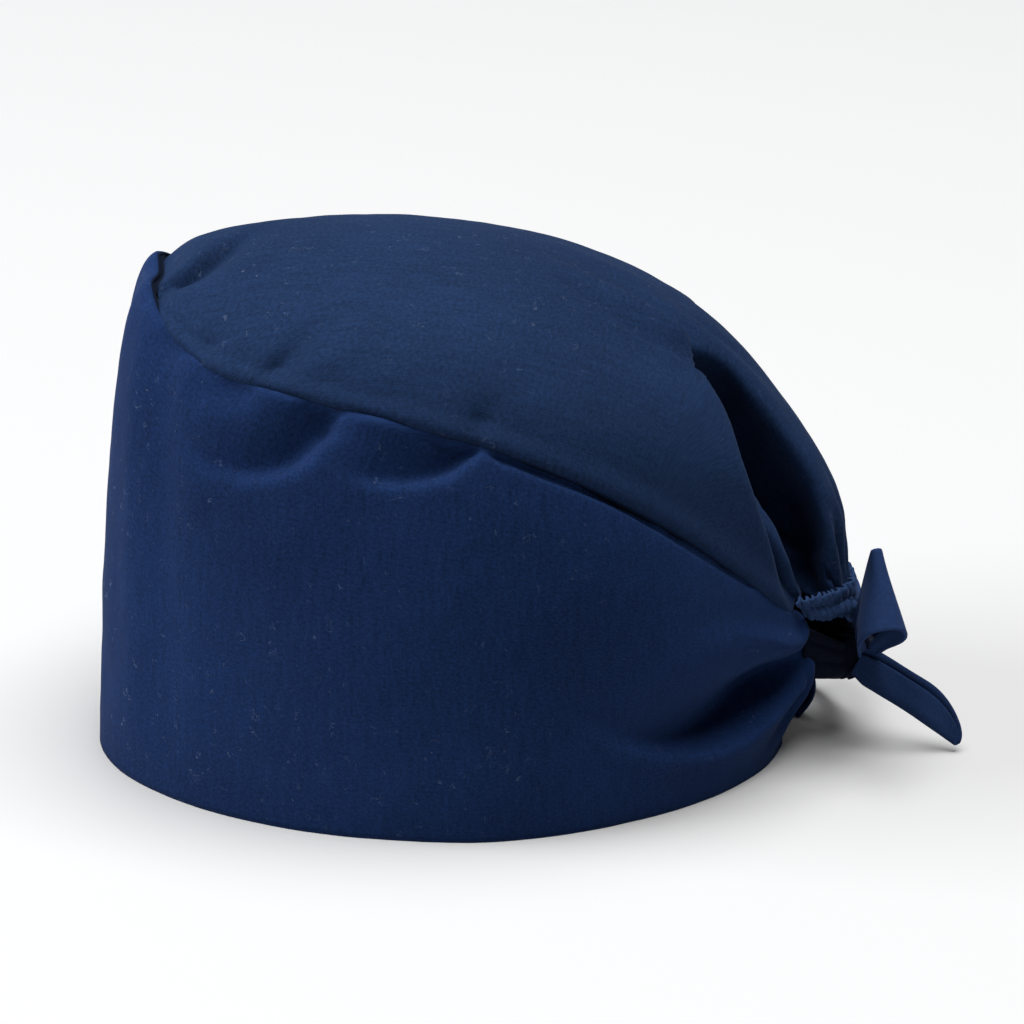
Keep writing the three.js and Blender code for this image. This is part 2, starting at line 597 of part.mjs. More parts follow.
function crownPanel() {
  const rows = placesAlong(CROWN_ROWS);
  const rounds = [];
  for (let step = 0; step <= CROWN_STEPS_ACROSS; step += 1) {
    rounds.push(90 - (180 * step) / CROWN_STEPS_ACROSS);
  }
  const points = [];
  rows.forEach((row) => rounds.forEach((round) => points.push(crownFolded(row, round))));
  const columns = rounds.length;
  const facets = [];
  for (let row = 0; row < rows.length - 1; row += 1) {
    for (let place = 0; place < columns - 1; place += 1) {
      const corner = row * columns + place;
      facets.push([corner, corner + columns, corner + columns + 1, corner + 1]);
    }
  }
  // the seam's path: down the left side from the casing, across the front, back along the right side
  const seam = [];
  for (let row = rows.length - 1; row > 0; row -= 1) {
    seam.push({ corner: row * columns, bandRow: crownRowAt(rows[row], 90) + 1 });
  }
  rounds.forEach((round, place) => seam.push({ corner: place, bandRow: round / 90 }));
  for (let row = 1; row < rows.length; row += 1) {
    seam.push({ corner: row * columns + columns - 1, bandRow: -crownRowAt(rows[row], 90) - 1 });
  }
  let edge = seam.map((place) => place.corner);
  for (let step = 1; step <= LAP_STEPS; step += 1) {
    const depth = (SEAM_LAP * step) / LAP_STEPS;
    const lower = seam.map((place) => points.push(lapPoint(place.bandRow, depth)) - 1);
    for (let place = 0; place < seam.length - 1; place += 1) {
      facets.push([edge[place], edge[place + 1], lower[place + 1], lower[place]]);
    }
    edge = lower;
  }
  return clothBody(points, facets, CROWN_WALL);
}

// Columns of the band on the left side: across the forehead, then beside each row of the crown
function bandPlaces() {
  const places = [];
  for (let step = 0; step < FOREHEAD_STEPS; step += 1) places.push(step / FOREHEAD_STEPS);
  placesAlong(CROWN_ROWS).forEach((row) => places.push(crownRowAt(row, 90) + 1));
  places.push((places.at(-1) + LAST_BAND_ROW) / 2, LAST_BAND_ROW);
  return places;
}

function sideBand() {
  const left = bandPlaces();
  const places = left.slice(1).reverse().map((row) => -row).concat(left);
  const points = [];
  places.forEach((row) => {
    const lapShare = 1 - SEAM_LAP / bandWall(row, 1).z;
    for (let step = 0; step < BAND_STEPS_UP; step += 1) {
      const point = bandFolded(row, (lapShare * step) / (BAND_STEPS_UP - 1));
      if (step === 0) point.z = 0;
      points.push(point);
    }
    points.push(bandFolded(row, 1));
  });
  const columns = BAND_STEPS_UP + 1;
  const facets = [];
  for (let row = 0; row < places.length - 1; row += 1) {
    for (let step = 0; step < BAND_STEPS_UP; step += 1) {
      const corner = row * columns + step;
      facets.push([corner, corner + columns, corner + columns + 1, corner + 1]);
    }
  }
  return clothBody(points, facets, BAND_WALL);
}

// Ruffled tube along the crown's back edge
function elasticCasing() {
  const rings = [];
  const stepsAlong = CASING_RUFFLES * CASING_STEPS_PER_RUFFLE;
  const inset = bandOutward(LAST_BAND_ROW, 1).multiplyScalar(BAND_WALL);
  for (let step = 0; step <= stepsAlong; step += 1) {
    const share = step / stepsAlong;
    const round = CASING_REACH * (1 - 2 * share);
    const edge = crownArch(LAST_CROWN_ROW, round, inset);
    const upwards = crownArch(LAST_CROWN_ROW - EDGE_ROWS, round, inset).sub(edge).normalize();
    const outward = outwardOf(crownBase, LAST_CROWN_ROW - SMALL_STEP, round).negate();
    const ruffle = Math.sin(2 * Math.PI * CASING_RUFFLES * share);
    const lip = CASING_LIP * smooth(1 - Math.abs(round - CASING_LIP_ROUND) / CASING_LIP_SPREAD);
    const middle = edge.clone().addScaledVector(upwards, CASING_RAISE + CASING_HEIGHT / 2 - lip / 2);
    middle.addScaledVector(outward, CASING_RUFFLE_DEPTH * ruffle - CASING_INSET);
    const ring = [];
    for (let place = 0; place < CASING_STEPS_ROUND; place += 1) {
      const angle = (2 * Math.PI * place) / CASING_STEPS_ROUND;
      const high = signedPower(Math.cos(angle), CASING_SQUARENESS);
      const out = signedPower(Math.sin(angle), CASING_SQUARENESS);
      ring.push(middle.clone()
        .addScaledVector(upwards, ((CASING_HEIGHT + lip) / 2) * high)
        .addScaledVector(outward, (CASING_THICKNESS / 2) * out));
    }
    rings.push(ring);
  }
  return ringBody(rings);
}

// Knot: a rounded block with a shallow waist where the strap passes round it
function tieKnot() {
  const rings = [];
  for (let level = 0; level <= KNOT_LEVELS; level += 1) {
    const tilt = Math.PI * (KNOT_END_SHARE + ((1 - 2 * KNOT_END_SHARE) * level) / KNOT_LEVELS);
    const height = Math.cos(tilt);
    const waist = KNOT_WAIST * Math.exp(-((height * KNOT_WAIST_REACH) ** 2));
    const girth = Math.sin(tilt) ** KNOT_SIDE_FULLNESS * (1 - waist);
    const ring = [];
    for (let place = 0; place < KNOT_STEPS_ROUND; place += 1) {
      const angle = (2 * Math.PI * place) / KNOT_STEPS_ROUND;
      ring.push(new THREE.Vector3(
        KNOT_CENTRE.x - KNOT_HALF_WIDTH * girth * signedPower(Math.cos(angle), KNOT_SQUARENESS),
        KNOT_CENTRE.y + KNOT_HALF_DEPTH * girth * signedPower(Math.sin(angle), KNOT_SQUARENESS),
        KNOT_CENTRE.z - KNOT_HALF_HEIGHT * signedPower(height, KNOT_END_SQUARENESS),
      ));
    }
    rings.push(ring);
  }
  return ringBody(rings);
}

// One strap bent into a loop: out on one ply, round the fold, and back on the other
function bowLoop(loop) {
  const root = fromKnot(loop.root);
  const axis = fromKnot(loop.tip).sub(root);
  const across = new THREE.Vector3(...loop.across).normalize();
  const length = axis.length();
  axis.normalize();
  const sideways = across.clone().cross(axis).normalize();
  const half = TIE_WALL / 2;
  const rings = [];
  for (let step = 0; step <= loop.steps; step += 1) {
    const angle = Math.PI * LOOP_CLOSING * ((2 * step) / loop.steps - 1);
    const reach = Math.cos(angle / 2);
    const middle = root.clone()
      .addScaledVector(axis, length * reach)
      .addScaledVector(sideways, loop.spread * Math.sin(angle) + Math.sign(angle) * (half + TIE_GAP / 2));
    const heading = axis.clone().multiplyScalar((-length / 2) * Math.sin(angle / 2))
      .addScaledVector(sideways, loop.spread * Math.cos(angle)).normalize();
    const flat = across.clone().cross(heading).normalize();
    const widening = (loop.tipHalfWidth - loop.rootHalfWidth) * smooth(reach * LOOP_WIDENING);
    const ring = strapRing(middle, across, flat, loop.rootHalfWidth + widening, half);
    ring.forEach((point) => {
      const wide = point.clone().sub(middle).dot(across) / loop.tipHalfWidth;
      point.addScaledVector(sideways, loop.pinch * wide * loop.spread * Math.sin(angle));
    });
    rings.push(ring);
  }
  return ringBody(rings);
}

// Flat strap's outline with its long edges rounded
function strapRing(middle, across, flat, halfWidth, halfThick) {
  const corners = [
    [1, -0.5], [1, 0.5], [0.94, 1], [0, 1], [-0.94, 1], [-1, 0.5],
    [-1, -0.5], [-0.94, -1], [0, -1], [0.94, -1],
  ];
  return corners.map(([wide, thick]) => middle.clone()
    .addScaledVector(across, wide * halfWidth)
    .addScaledVector(flat, thick * halfThick));
}

// The folded strap's section: its height from the lower edge (-1) to the upper (1) and its thickness
const TAIL_SECTION = [
  { high: 0.96, thick: -0.5, groove: 0 },
  { high: 1, thick: 0.2, groove: 0 },
  { high: 0.85, thick: 1, groove: 0 },
  { high: 0.5, thick: 1, groove: 0 },
  { high: 0.42, thick: 1, groove: 1 },
  { high: 0.34, thick: 1, groove: 0 },
  { high: -0.85, thick: 0.9, groove: 0 },
  { high: -1, thick: 0.2, groove: 0 },
  { high: -0.9, thick: -0.8, groove: 0 },
  { high: 0, thick: -1, groove: 0 },
];

function tieTail(tail) {
  const [root, bend, tip] = [tail.root, tail.bend, tail.tip].map(fromKnot);
  const side = new THREE.Vector3(...tail.side).normalize();
  const path = new THREE.QuadraticBezierCurve3(root, bend, tip);
  const length = path.getLength();
  const rings = [];
  for (let step = 0; step <= TAIL_STEPS; step += 1) {
    const share = step / TAIL_STEPS;
    const middle = path.getPoint(share);
    const heading = path.getTangent(share);
    const upwards = side.clone().cross(heading).normalize();
    if (upwards.z < 0) upwards.negate();
    const outwards = heading.clone().cross(upwards).normalize();
    if (outwards.dot(side) < 0) outwards.negate();
    const left = ((1 - share) * length) / tail.pointLength;
    const point = Math.min(1, TAIL_POINT_BLUNTNESS + left * TAIL_POINT_GROWTH);
    const fullHalf = tail.bodyHeight / 2;
    const halfHeight = fullHalf * Math.min(1, TAIL_ROOT_SHARE + share * TAIL_ROOT_GROWTH) * point;
    const lowered = middle.clone().addScaledVector(upwards, -fullHalf * (1 - point) * TAIL_POINT_DROP);
    rings.push(TAIL_SECTION.map((row) => lowered.clone()
      .addScaledVector(upwards, row.high * halfHeight)
      .addScaledVector(outwards, (row.thick * TAIL_THICKNESS) / 2 - row.groove * TAIL_GROOVE * point)));
  }
  return ringBody(rings);
}

// Short strap from the band's back end to the knot
function tieRoot(side) {
  const end = side * LAST_BAND_ROW;
  const edge = bandFolded(end, ROOT_UP);
  const edgeUp = bandFolded(end, ROOT_UP + ROOT_UP_REACH)
    .sub(bandFolded(end, ROOT_UP - ROOT_UP_REACH)).normalize();
  const along = edge.clone().sub(bandFolded(end - side * SMALL_STEP, ROOT_UP)).normalize();
  const atBand = edge.addScaledVector(bandOutward(end, ROOT_UP), -BAND_WALL / 2);
  atBand.addScaledVector(along, ROOT_GAP);
  const atKnot = KNOT_CENTRE.clone();
  atKnot.x += side * (KNOT_HALF_WIDTH + TIE_GAP);
  atKnot.y -= ROOT_FORWARD;
  const between = atBand.clone().lerp(atKnot, 0.5).addScaledVector(along, ROOT_SAG);
  const rings = [];
  const path = new THREE.QuadraticBezierCurve3(atBand, between, atKnot);
  for (let step = 0; step <= ROOT_STEPS; step += 1) {
    const share = step / ROOT_STEPS;
    const heading = path.getTangent(share);
    const upwards = edgeUp.clone().lerp(UP, share).normalize();
    const flat = heading.clone().cross(upwards).normalize();
    const half = ROOT_BAND_HALF_HEIGHT + (ROOT_KNOT_HALF_HEIGHT - ROOT_BAND_HALF_HEIGHT) * share;
    rings.push(strapRing(path.getPoint(share), upwards, flat, half, ROOT_THICKNESS / 2));
  }
  return ringBody(rings);
}

const group = new THREE.Group();
group.name = 'scrub_cap';

function addPiece(name, geometry, colour, roughness) {
  const material = new THREE.MeshStandardMaterial({ color: colour, roughness, metalness: 0 });
  const piece = new THREE.Mesh(geometry, material);
  piece.name = name;
  group.add(piece);
}

addPiece('side_band', sideBand(), BAND_COLOUR, 0.9);
addPiece('crown_panel', crownPanel(), CROWN_COLOUR, 0.9);
addPiece('elastic_casing', elasticCasing(), CROWN_COLOUR, 0.9);
addPiece('tie_knot', tieKnot(), TIE_COLOUR, 0.88);
addPiece('tie_root_left', tieRoot(1), TIE_COLOUR, 0.88);
addPiece('tie_root_right', tieRoot(-1), TIE_COLOUR, 0.88);
LOOPS.forEach((loop) => addPiece(loop.name, bowLoop(loop), TIE_COLOUR, 0.88));
TAILS.forEach((tail) => addPiece(tail.name, tieTail(tail), TIE_COLOUR, 0.88));

export default group;
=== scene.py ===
# %% [markdown]
# # A cloth cap with a gathered crown and a bow
# The cap stands on its rim, as it would on a shelf. Its solid parts are loaded first and never moved. Every
# visible piece below is cloth. Nearly all of them start as a flat grid, as cloth is cut flat, and are then
# formed, given their thickness and finished. Lengths are millimetres in the tables and metres in the meshes.

import json
import math

import bpy
import numpy as np
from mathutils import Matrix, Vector

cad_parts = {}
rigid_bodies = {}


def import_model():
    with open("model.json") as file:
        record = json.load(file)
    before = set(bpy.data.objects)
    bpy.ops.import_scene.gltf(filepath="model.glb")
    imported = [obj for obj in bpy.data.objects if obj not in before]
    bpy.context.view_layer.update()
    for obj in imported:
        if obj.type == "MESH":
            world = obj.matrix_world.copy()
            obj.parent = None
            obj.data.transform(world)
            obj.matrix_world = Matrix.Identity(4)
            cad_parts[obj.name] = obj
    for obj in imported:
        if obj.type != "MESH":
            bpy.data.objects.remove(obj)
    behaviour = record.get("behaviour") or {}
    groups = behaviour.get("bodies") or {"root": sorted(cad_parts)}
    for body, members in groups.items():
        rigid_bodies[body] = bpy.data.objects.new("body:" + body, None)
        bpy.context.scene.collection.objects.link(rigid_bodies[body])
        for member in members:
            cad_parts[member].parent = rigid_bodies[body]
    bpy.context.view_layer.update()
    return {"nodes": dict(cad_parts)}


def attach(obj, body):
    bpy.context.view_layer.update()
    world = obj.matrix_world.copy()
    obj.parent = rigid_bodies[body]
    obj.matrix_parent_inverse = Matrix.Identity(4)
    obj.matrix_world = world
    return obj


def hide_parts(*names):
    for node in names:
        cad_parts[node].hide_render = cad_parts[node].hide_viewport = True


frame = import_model()
print("nodes:", len(frame["nodes"]))

# %% [markdown]
# ## The sizes of the cap
# The rim is an oval, rounder in front than behind. One table follows the middle of the crown from the front
# seam to the casing, and one follows the seam from the forehead round the side to the back. These are the
# named sizes that the solid parts were made from, so the cloth lies where they are.

# %% Named sizes, in millimetres
RIM_LENGTH = 215
RIM_WIDTH = 164
RIM_WIDEST_SHARE = 0.53
RIM_FRONT_FULLNESS = 1.95
RIM_BACK_FULLNESS = 1.75
CROWN_HEIGHT = 162
CLOTH_WALL = 1.1
SEAM_GAP = 0.9
SEAM_LAP = 6
SEAM_TUCK = 3.4
SEAM_TUCK_FROM = 87.6
CASING_HEIGHT = 8.5
FOLD_SAG = 8
MM = 0.001

# %% Rows of the crown and of the band
# back and up are shares of the rim's length and the crown's height, wide of half the rim's width
CROWN_ROWS = [
    dict(back=0.105, up=0.93, fullness=2),
    dict(back=0.165, up=0.968, fullness=2),
    dict(back=0.26, up=0.99, fullness=2),
    dict(back=0.375, up=0.996, fullness=2),
    dict(back=0.505, up=0.982, fullness=2.05),
    dict(back=0.635, up=0.952, fullness=2.1),
    dict(back=0.765, up=0.893, fullness=2.2),
    dict(back=0.885, up=0.8, fullness=2.2),
    dict(back=0.974, up=0.662, fullness=2.1),
    dict(back=1.049, up=0.49, fullness=2),
    dict(back=1.086, up=0.262, fullness=2),
]
# turn is degrees round the rim from the front; low and high lean the cloth out of a straight wall
BAND_ROWS = [
    dict(turn=0, wide=0, back=0.105, up=0.93, low_out=-3, low_up=0.4, high_out=16, high_up=1),
    dict(turn=14, wide=0.2, back=0.101, up=0.936, low_out=-3, low_up=0.4, high_out=15, high_up=0.99),
    dict(turn=28, wide=0.4, back=0.128, up=0.893, low_out=-1, low_up=0.4, high_out=14, high_up=0.96),
    dict(turn=43, wide=0.62, back=0.195, up=0.85, low_out=1, low_up=0.4, high_out=13, high_up=0.92),
    dict(turn=60, wide=0.77, back=0.3, up=0.83, low_out=2, low_up=0.4, high_out=13, high_up=0.9),
    dict(turn=79, wide=0.86, back=0.44, up=0.797, low_out=3, low_up=0.4, high_out=13, high_up=0.9),
    dict(turn=97, wide=0.885, back=0.577, up=0.745, low_out=3, low_up=0.4, high_out=13, high_up=0.9),
    dict(turn=115, wide=0.85, back=0.705, up=0.668, low_out=3, low_up=0.4, high_out=12, high_up=0.9),
    dict(turn=131, wide=0.735, back=0.808, up=0.57, low_out=3, low_up=0.38, high_out=11, high_up=0.9),
    dict(turn=146, wide=0.565, back=0.895, up=0.462, low_out=3, low_up=0.35, high_out=9, high_up=0.88),
    dict(turn=159, wide=0.4, back=0.955, up=0.372, low_out=2.5, low_up=0.32, high_out=8, high_up=0.85),
    dict(turn=171, wide=0.25, back=0.998, up=0.303, low_out=5, low_up=0.3, high_out=8, high_up=0.8),
]
LAST_CROWN_ROW = len(CROWN_ROWS) - 1
LAST_BAND_ROW = len(BAND_ROWS) - 1
print("crown rows:", len(CROWN_ROWS), "band rows:", len(BAND_ROWS))

# %% [markdown]
# ## Smooth surfaces from short tables
# A curve through each column of a table gives the cloth between its rows. The band is a wall from the rim to
# the seam, and the crown an arch from seam to seam. Both are worked out for many points at once.

# %% A smooth curve through one column
def column(rows, name, at):
    """Numbers between the rows of a table, for an array of row places."""
    values = np.array([row[name] for row in rows], float)
    last = len(values) - 1
    place = np.clip(at, 0, last)
    start = np.minimum(place.astype(int), last - 1)
    share = place - start
    here, after = values[start], values[start + 1]
    before = np.where(start > 0, values[start - 1], 2 * here - after)
    beyond = np.where(start < last - 1, values[np.minimum(start + 2, last)], 2 * after - here)
    bend = 2 * before - 5 * here + 4 * after - beyond + share * (3 * (here - after) + beyond - before)
    return here + 0.5 * share * (after - before + share * bend)


def smooth(share):
    """Eases a share from 0 to 1."""
    s = np.clip(share, 0, 1)
    return s * s * (3 - 2 * s)


def signed_power(value, power):
    return np.sign(value) * np.abs(value) ** power


def unit(vectors):
    return vectors / np.maximum(np.linalg.norm(vectors, axis=-1, keepdims=True), 1e-9)


def along(vectors, lengths):
    """Each vector times its own length."""
    return vectors * np.asarray(lengths, float)[..., None]


# %% The seam between the band and the crown
def back_to_y(share):
    return (share - 0.5) * RIM_LENGTH


def front_even(name, row):
    """A column that runs level across the middle of the forehead, because both sides are alike."""
    middle = BAND_ROWS[0][name]
    rise = BAND_ROWS[1][name] - middle
    slope = (BAND_ROWS[2][name] - middle) / 2
    level = middle + (3 * rise - slope) * row**2 + (slope - 2 * rise) * row**3
    return np.where(row < 1, level, column(BAND_ROWS, name, row))


def front_wide(row):
    first = BAND_ROWS[1]["wide"]
    slope = (BAND_ROWS[2]["wide"] - BAND_ROWS[0]["wide"]) / 2 / first
    eased = first * row * (1 + (slope - 1) / 2 * (row**2 + row - 1))
    return np.where(row < 1, eased, column(BAND_ROWS, "wide", row))


def seam_point(signed_row):
    """The seam, on the left side above zero and on the right side below."""
    row = np.abs(signed_row)
    out = np.sign(signed_row) * front_wide(row) * RIM_WIDTH / 2
    return np.stack([out, back_to_y(front_even("back", row)), front_even("up", row) * CROWN_HEIGHT], -1)


# %% The band's wall
def rim_point(turn):
    angle = np.radians(turn)
    forward = np.cos(angle)
    middle = back_to_y(RIM_WIDEST_SHARE)
    fullness = np.where(forward > 0, RIM_FRONT_FULLNESS, RIM_BACK_FULLNESS)
    reach = np.where(forward > 0, middle + RIM_LENGTH / 2, RIM_LENGTH / 2 - middle)
    x = RIM_WIDTH / 2 * signed_power(np.sin(angle), 2 / fullness)
    y = middle - reach * signed_power(forward, 2 / fullness)
    return np.stack([x, y, 0 * x], -1)


def rim_outward(turn):
    point = rim_point(turn)
    across = point[..., 0] / (RIM_WIDTH / 2) ** 2
    lengthways = (point[..., 1] - back_to_y(RIM_WIDEST_SHARE)) / (RIM_LENGTH / 2) ** 2
    return unit(np.stack([across, lengthways, 0 * across], -1))


def band_wall(signed_row, up):
    """The band without folds; up runs from the rim (0) to the seam (1)."""
    row = np.abs(signed_row)
    turn = column(BAND_ROWS, "turn", row)
    foot, out, head = rim_point(turn), rim_outward(turn), seam_point(row)
    low = foot + along(out, column(BAND_ROWS, "low_out", row))
    low[..., 2] = head[..., 2] * column(BAND_ROWS, "low_up", row)
    high = head + along(out, column(BAND_ROWS, "high_out", row))
    high[..., 2] = head[..., 2] * column(BAND_ROWS, "high_up", row)
    down = 1 - up
    point = along(foot, down**3) + along(low, 3 * up * down**2)
    point = point + along(high, 3 * up**2 * down) + along(head, up**3)
    point[..., 0] *= np.where(signed_row < 0, -1, 1)
    return point


def outward_of(surface, first, second, step=0.02):
    """Which way a surface faces, from four points close round each place."""
    one = surface(first + step, second) - surface(first - step, second)
    other = surface(first, second + step) - surface(first, second - step)
    return unit(np.cross(one, other))


def band_outward(row, up):
    inside = np.clip(row, 0.02 - LAST_BAND_ROW, LAST_BAND_ROW - 0.02)
    return outward_of(band_wall, inside, np.zeros_like(inside) + up)


# %% The crown's arch
def crown_arch(row, turn, inset=0):
    """The crown without folds; turn is degrees from its middle, 90 at the left seam."""
    row, turn = np.broadcast_arrays(np.asarray(row, float), np.asarray(turn, float))
    centre_y = back_to_y(column(CROWN_ROWS, "back", row))
    centre_z = column(CROWN_ROWS, "up", row) * CROWN_HEIGHT
    seam = seam_point(row + 1) - inset
    power = 2 / column(CROWN_ROWS, "fullness", row)
    angle = np.radians(turn)
    rise = np.maximum(np.cos(angle), 0) ** power
    x = signed_power(np.sin(angle), power) * seam[..., 0]
    y = seam[..., 1] + rise * (centre_y - seam[..., 1])
    z = seam[..., 2] + rise * (centre_z - seam[..., 2])
    corner, middle = seam_point(np.ones(1))[0], seam_point(np.zeros(1))[0]
    front = seam_point(turn / 90)
    front_y = corner[1] + np.cos(angle) * (middle[1] - corner[1])
    front_z = corner[2] + np.cos(angle) * (middle[2] - corner[2])
    flat = np.stack([np.sin(angle) * corner[0], front_y, front_z], -1)
    return np.stack([x, y, z], -1) + along(front - flat, 1 - smooth(row))


probe = crown_arch(np.array([3.0]), np.array([0.0]))[0]
print("top of the crown, mm:", probe.round(1))

# %% [markdown]
# ## Folds
# Each fold is a path on the smooth cloth. At every point of the path a number says how far the cloth stands
# out (above zero) or sinks in (below zero), and another how wide the fold is there. It fades away from the
# path like a soft bell. lean makes one side steeper, and roll pushes the cloth sideways, so a fold can hang
# over the valley beside it. Where folds cross, only the deepest hollow and the highest ridge count. A fold
# with a direction called into is a pleat, which sinks that way whatever crosses it. One with into=None is
# added to the others along the cloth's own outward direction. Folds could also be sculpted with a brush, but
# a table can be read, checked against the cap and changed.

# %% Folds of the crown
# each point is (row, degrees from the middle, lift in mm, width in mm)
CROWN_FOLDS = [
    # the left lobe, whose rear edge hangs over the deep fold
    dict(path=[(6.3, 20, 0.6, 8), (7, 46, 2.4, 8), (7.4, 62, 3.4, 7), (8.1, 75, 3, 6), (9.2, 83, 1, 4.5)],
         lean=0.2, roll=4.5),
    # the deep fold: a steep wall under the lobe's edge, then the bottom of the valley
    dict(path=[(6.62, 18, -3, 4), (7, 32, -11, 6), (7.5, 45, -14, 7), (7.95, 58, -14, 7),
               (8.45, 68, -11, 6), (9, 76, -8, 5), (9.7, 83, -3, 4)], lean=-0.65),
    dict(path=[(6.66, 17, -4, 3.4), (7.1, 25, -20, 4), (7.65, 34, -31, 5), (8.2, 41, -35, 5.5),
               (8.75, 51, -31, 4.8), (9.2, 60, -20, 3.6), (9.8, 66, -8, 3)]),
    # a narrow dark pleat in the valley's far side
    dict(path=[(6.6, 19.5, -2, 2.6), (6.85, 19.5, -12, 3.2), (7.2, 23, -23, 4.2), (7.6, 28, -28, 4.7),
               (8.2, 33, -31, 4.8), (8.65, 37.5, -31, 4.5), (9.15, 47, -26, 4), (9.7, 57, -17, 3.4)],
         into=(0.93, 0, 0.36)),
    # a smaller fold that stands inside the valley
    dict(path=[(7.95, 60, 0.5, 4), (8.3, 63, 4.5, 4), (8.8, 69, 5.5, 3.6), (9.4, 76, 3, 3)], roll=1),
    # the same fold on the right side, shallower
    dict(path=[(7, -30, -2, 8), (7.7, -55, -8, 9), (9.2, -68, -5, 8)], lean=0.3),
    # the lobe behind the deep fold, with a thin crease along its crest
    dict(path=[(6.7, 4, 0.8, 9), (7.5, 4, 1.4, 11), (8.4, 8, 1.8, 10), (9.1, 12, 1.6, 8)]),
    dict(path=[(5.8, 1.5, 0.2, 2.4), (6.2, 3.8, 1, 2.2), (6.61, 8.3, 1.3, 2.2), (7, 10.8, 1.2, 2.4),
               (7.85, 12.3, 0.2, 3)], lean=0.3, into=None),
    dict(path=[(6, -3, -0.2, 3), (6.6, 1.5, -1.2, 3.4), (7.1, 3.5, -1.4, 4), (7.9, 4, -0.3, 5)], into=None),
    # ridges that fan forwards from the top of the deep fold, and the hollow beside them
    dict(path=[(5.1, 2, 0.4, 5), (5.6, 9, 2, 4.4), (6.1, 14, 2.8, 4.2), (6.6, 17, 2.4, 4)],
         lean=0.3, roll=0.6),
    dict(path=[(5.3, -12, 0.5, 6), (6, -3, 1.6, 6), (6.7, 4, 1.6, 5)]),
    dict(path=[(5.4, 30, -1, 11), (6, 31, -2.6, 12), (6.5, 33, -2.6, 9)]),
    dict(path=[(5.3, 12, -0.8, 5), (5.75, 19, -2.4, 4.6), (6.2, 24, -3.4, 4.4), (6.7, 27, -3, 4.4)],
         lean=-0.3),
    # pleat that starts at the notch of the front seam
    dict(path=[(0.45, 42, -2, 4), (0.67, 34.5, -4.5, 4.4), (0.94, 26, -5, 4.6), (1.36, 7, -4, 5),
               (1.6, -4, -2.4, 5.2), (1.88, -16, -0.4, 5.4)], lean=0.5),
    dict(path=[(0.3, 35, 0.3, 2.8), (0.6, 25, 0.8, 2.8), (0.95, 10, 0.8, 3), (1.25, -5, 0.4, 3.4)],
         roll=-0.8),
    # creases that run up from the seam
    dict(path=[(2.6, 86, -2.6, 3), (2.7, 76, -2.4, 4), (2.82, 65, -1.5, 5), (3, 50, -0.2, 6)], lean=0.3),
    dict(path=[(2.95, 86, 1.2, 4), (3.1, 74, 1, 5), (3.4, 56, 0.2, 6)]),
    dict(path=[(1.72, 85, -2, 3), (1.74, 79, -1.8, 3.5), (1.85, 68, -0.4, 5)]),
    dict(path=[(4.74, 87, -3, 3), (4.76, 82, -2.6, 3.5), (4.8, 76, -0.8, 4)]),
    dict(path=[(2.8, -84, -2.6, 8), (3.1, -66, -1.6, 9), (3.5, -46, -0.4, 9)]),
    dict(path=[(5.2, -86, -1.6, 6), (5.5, -74, -1, 7), (5.9, -58, -0.3, 7)]),
]

# %% Gathers above the elastic
# a narrow valley every few degrees, deeper and shallower in turn, with a crest beside it
GATHER_TURNS = range(-66, 72, 6)
GATHER_DEPTHS = (2.2, 3.4)
GATHER_CREST = 3  # degrees from a valley to its crest
GATHER_START = 8.9  # the row where a gather begins, more or less
GATHER_DRIFT = 5  # degrees that a gather slants by, at most
for index, turn in enumerate(GATHER_TURNS):
    depth = GATHER_DEPTHS[index % 2]
    start = GATHER_START + 0.3 * math.sin(index * 2.3)
    drift = GATHER_DRIFT * math.sin(index * 1.7)
    crest = turn + GATHER_CREST
    valley_path = [(start, turn - drift, -0.2, 1.8), (9.5, turn - drift / 3, -0.7 * depth, 1.5),
                   (10, turn, -depth, 1.3)]
    crest_path = [(start + 0.2, crest - drift, 0.1, 1.8), (9.5, crest - drift / 3, 0.9, 1.5),
                  (9.95, crest, 1, 1.3)]
    CROWN_FOLDS.append(dict(path=valley_path, into=None))
    CROWN_FOLDS.append(dict(path=crest_path, into=None))
print("gathers:", len(GATHER_TURNS))

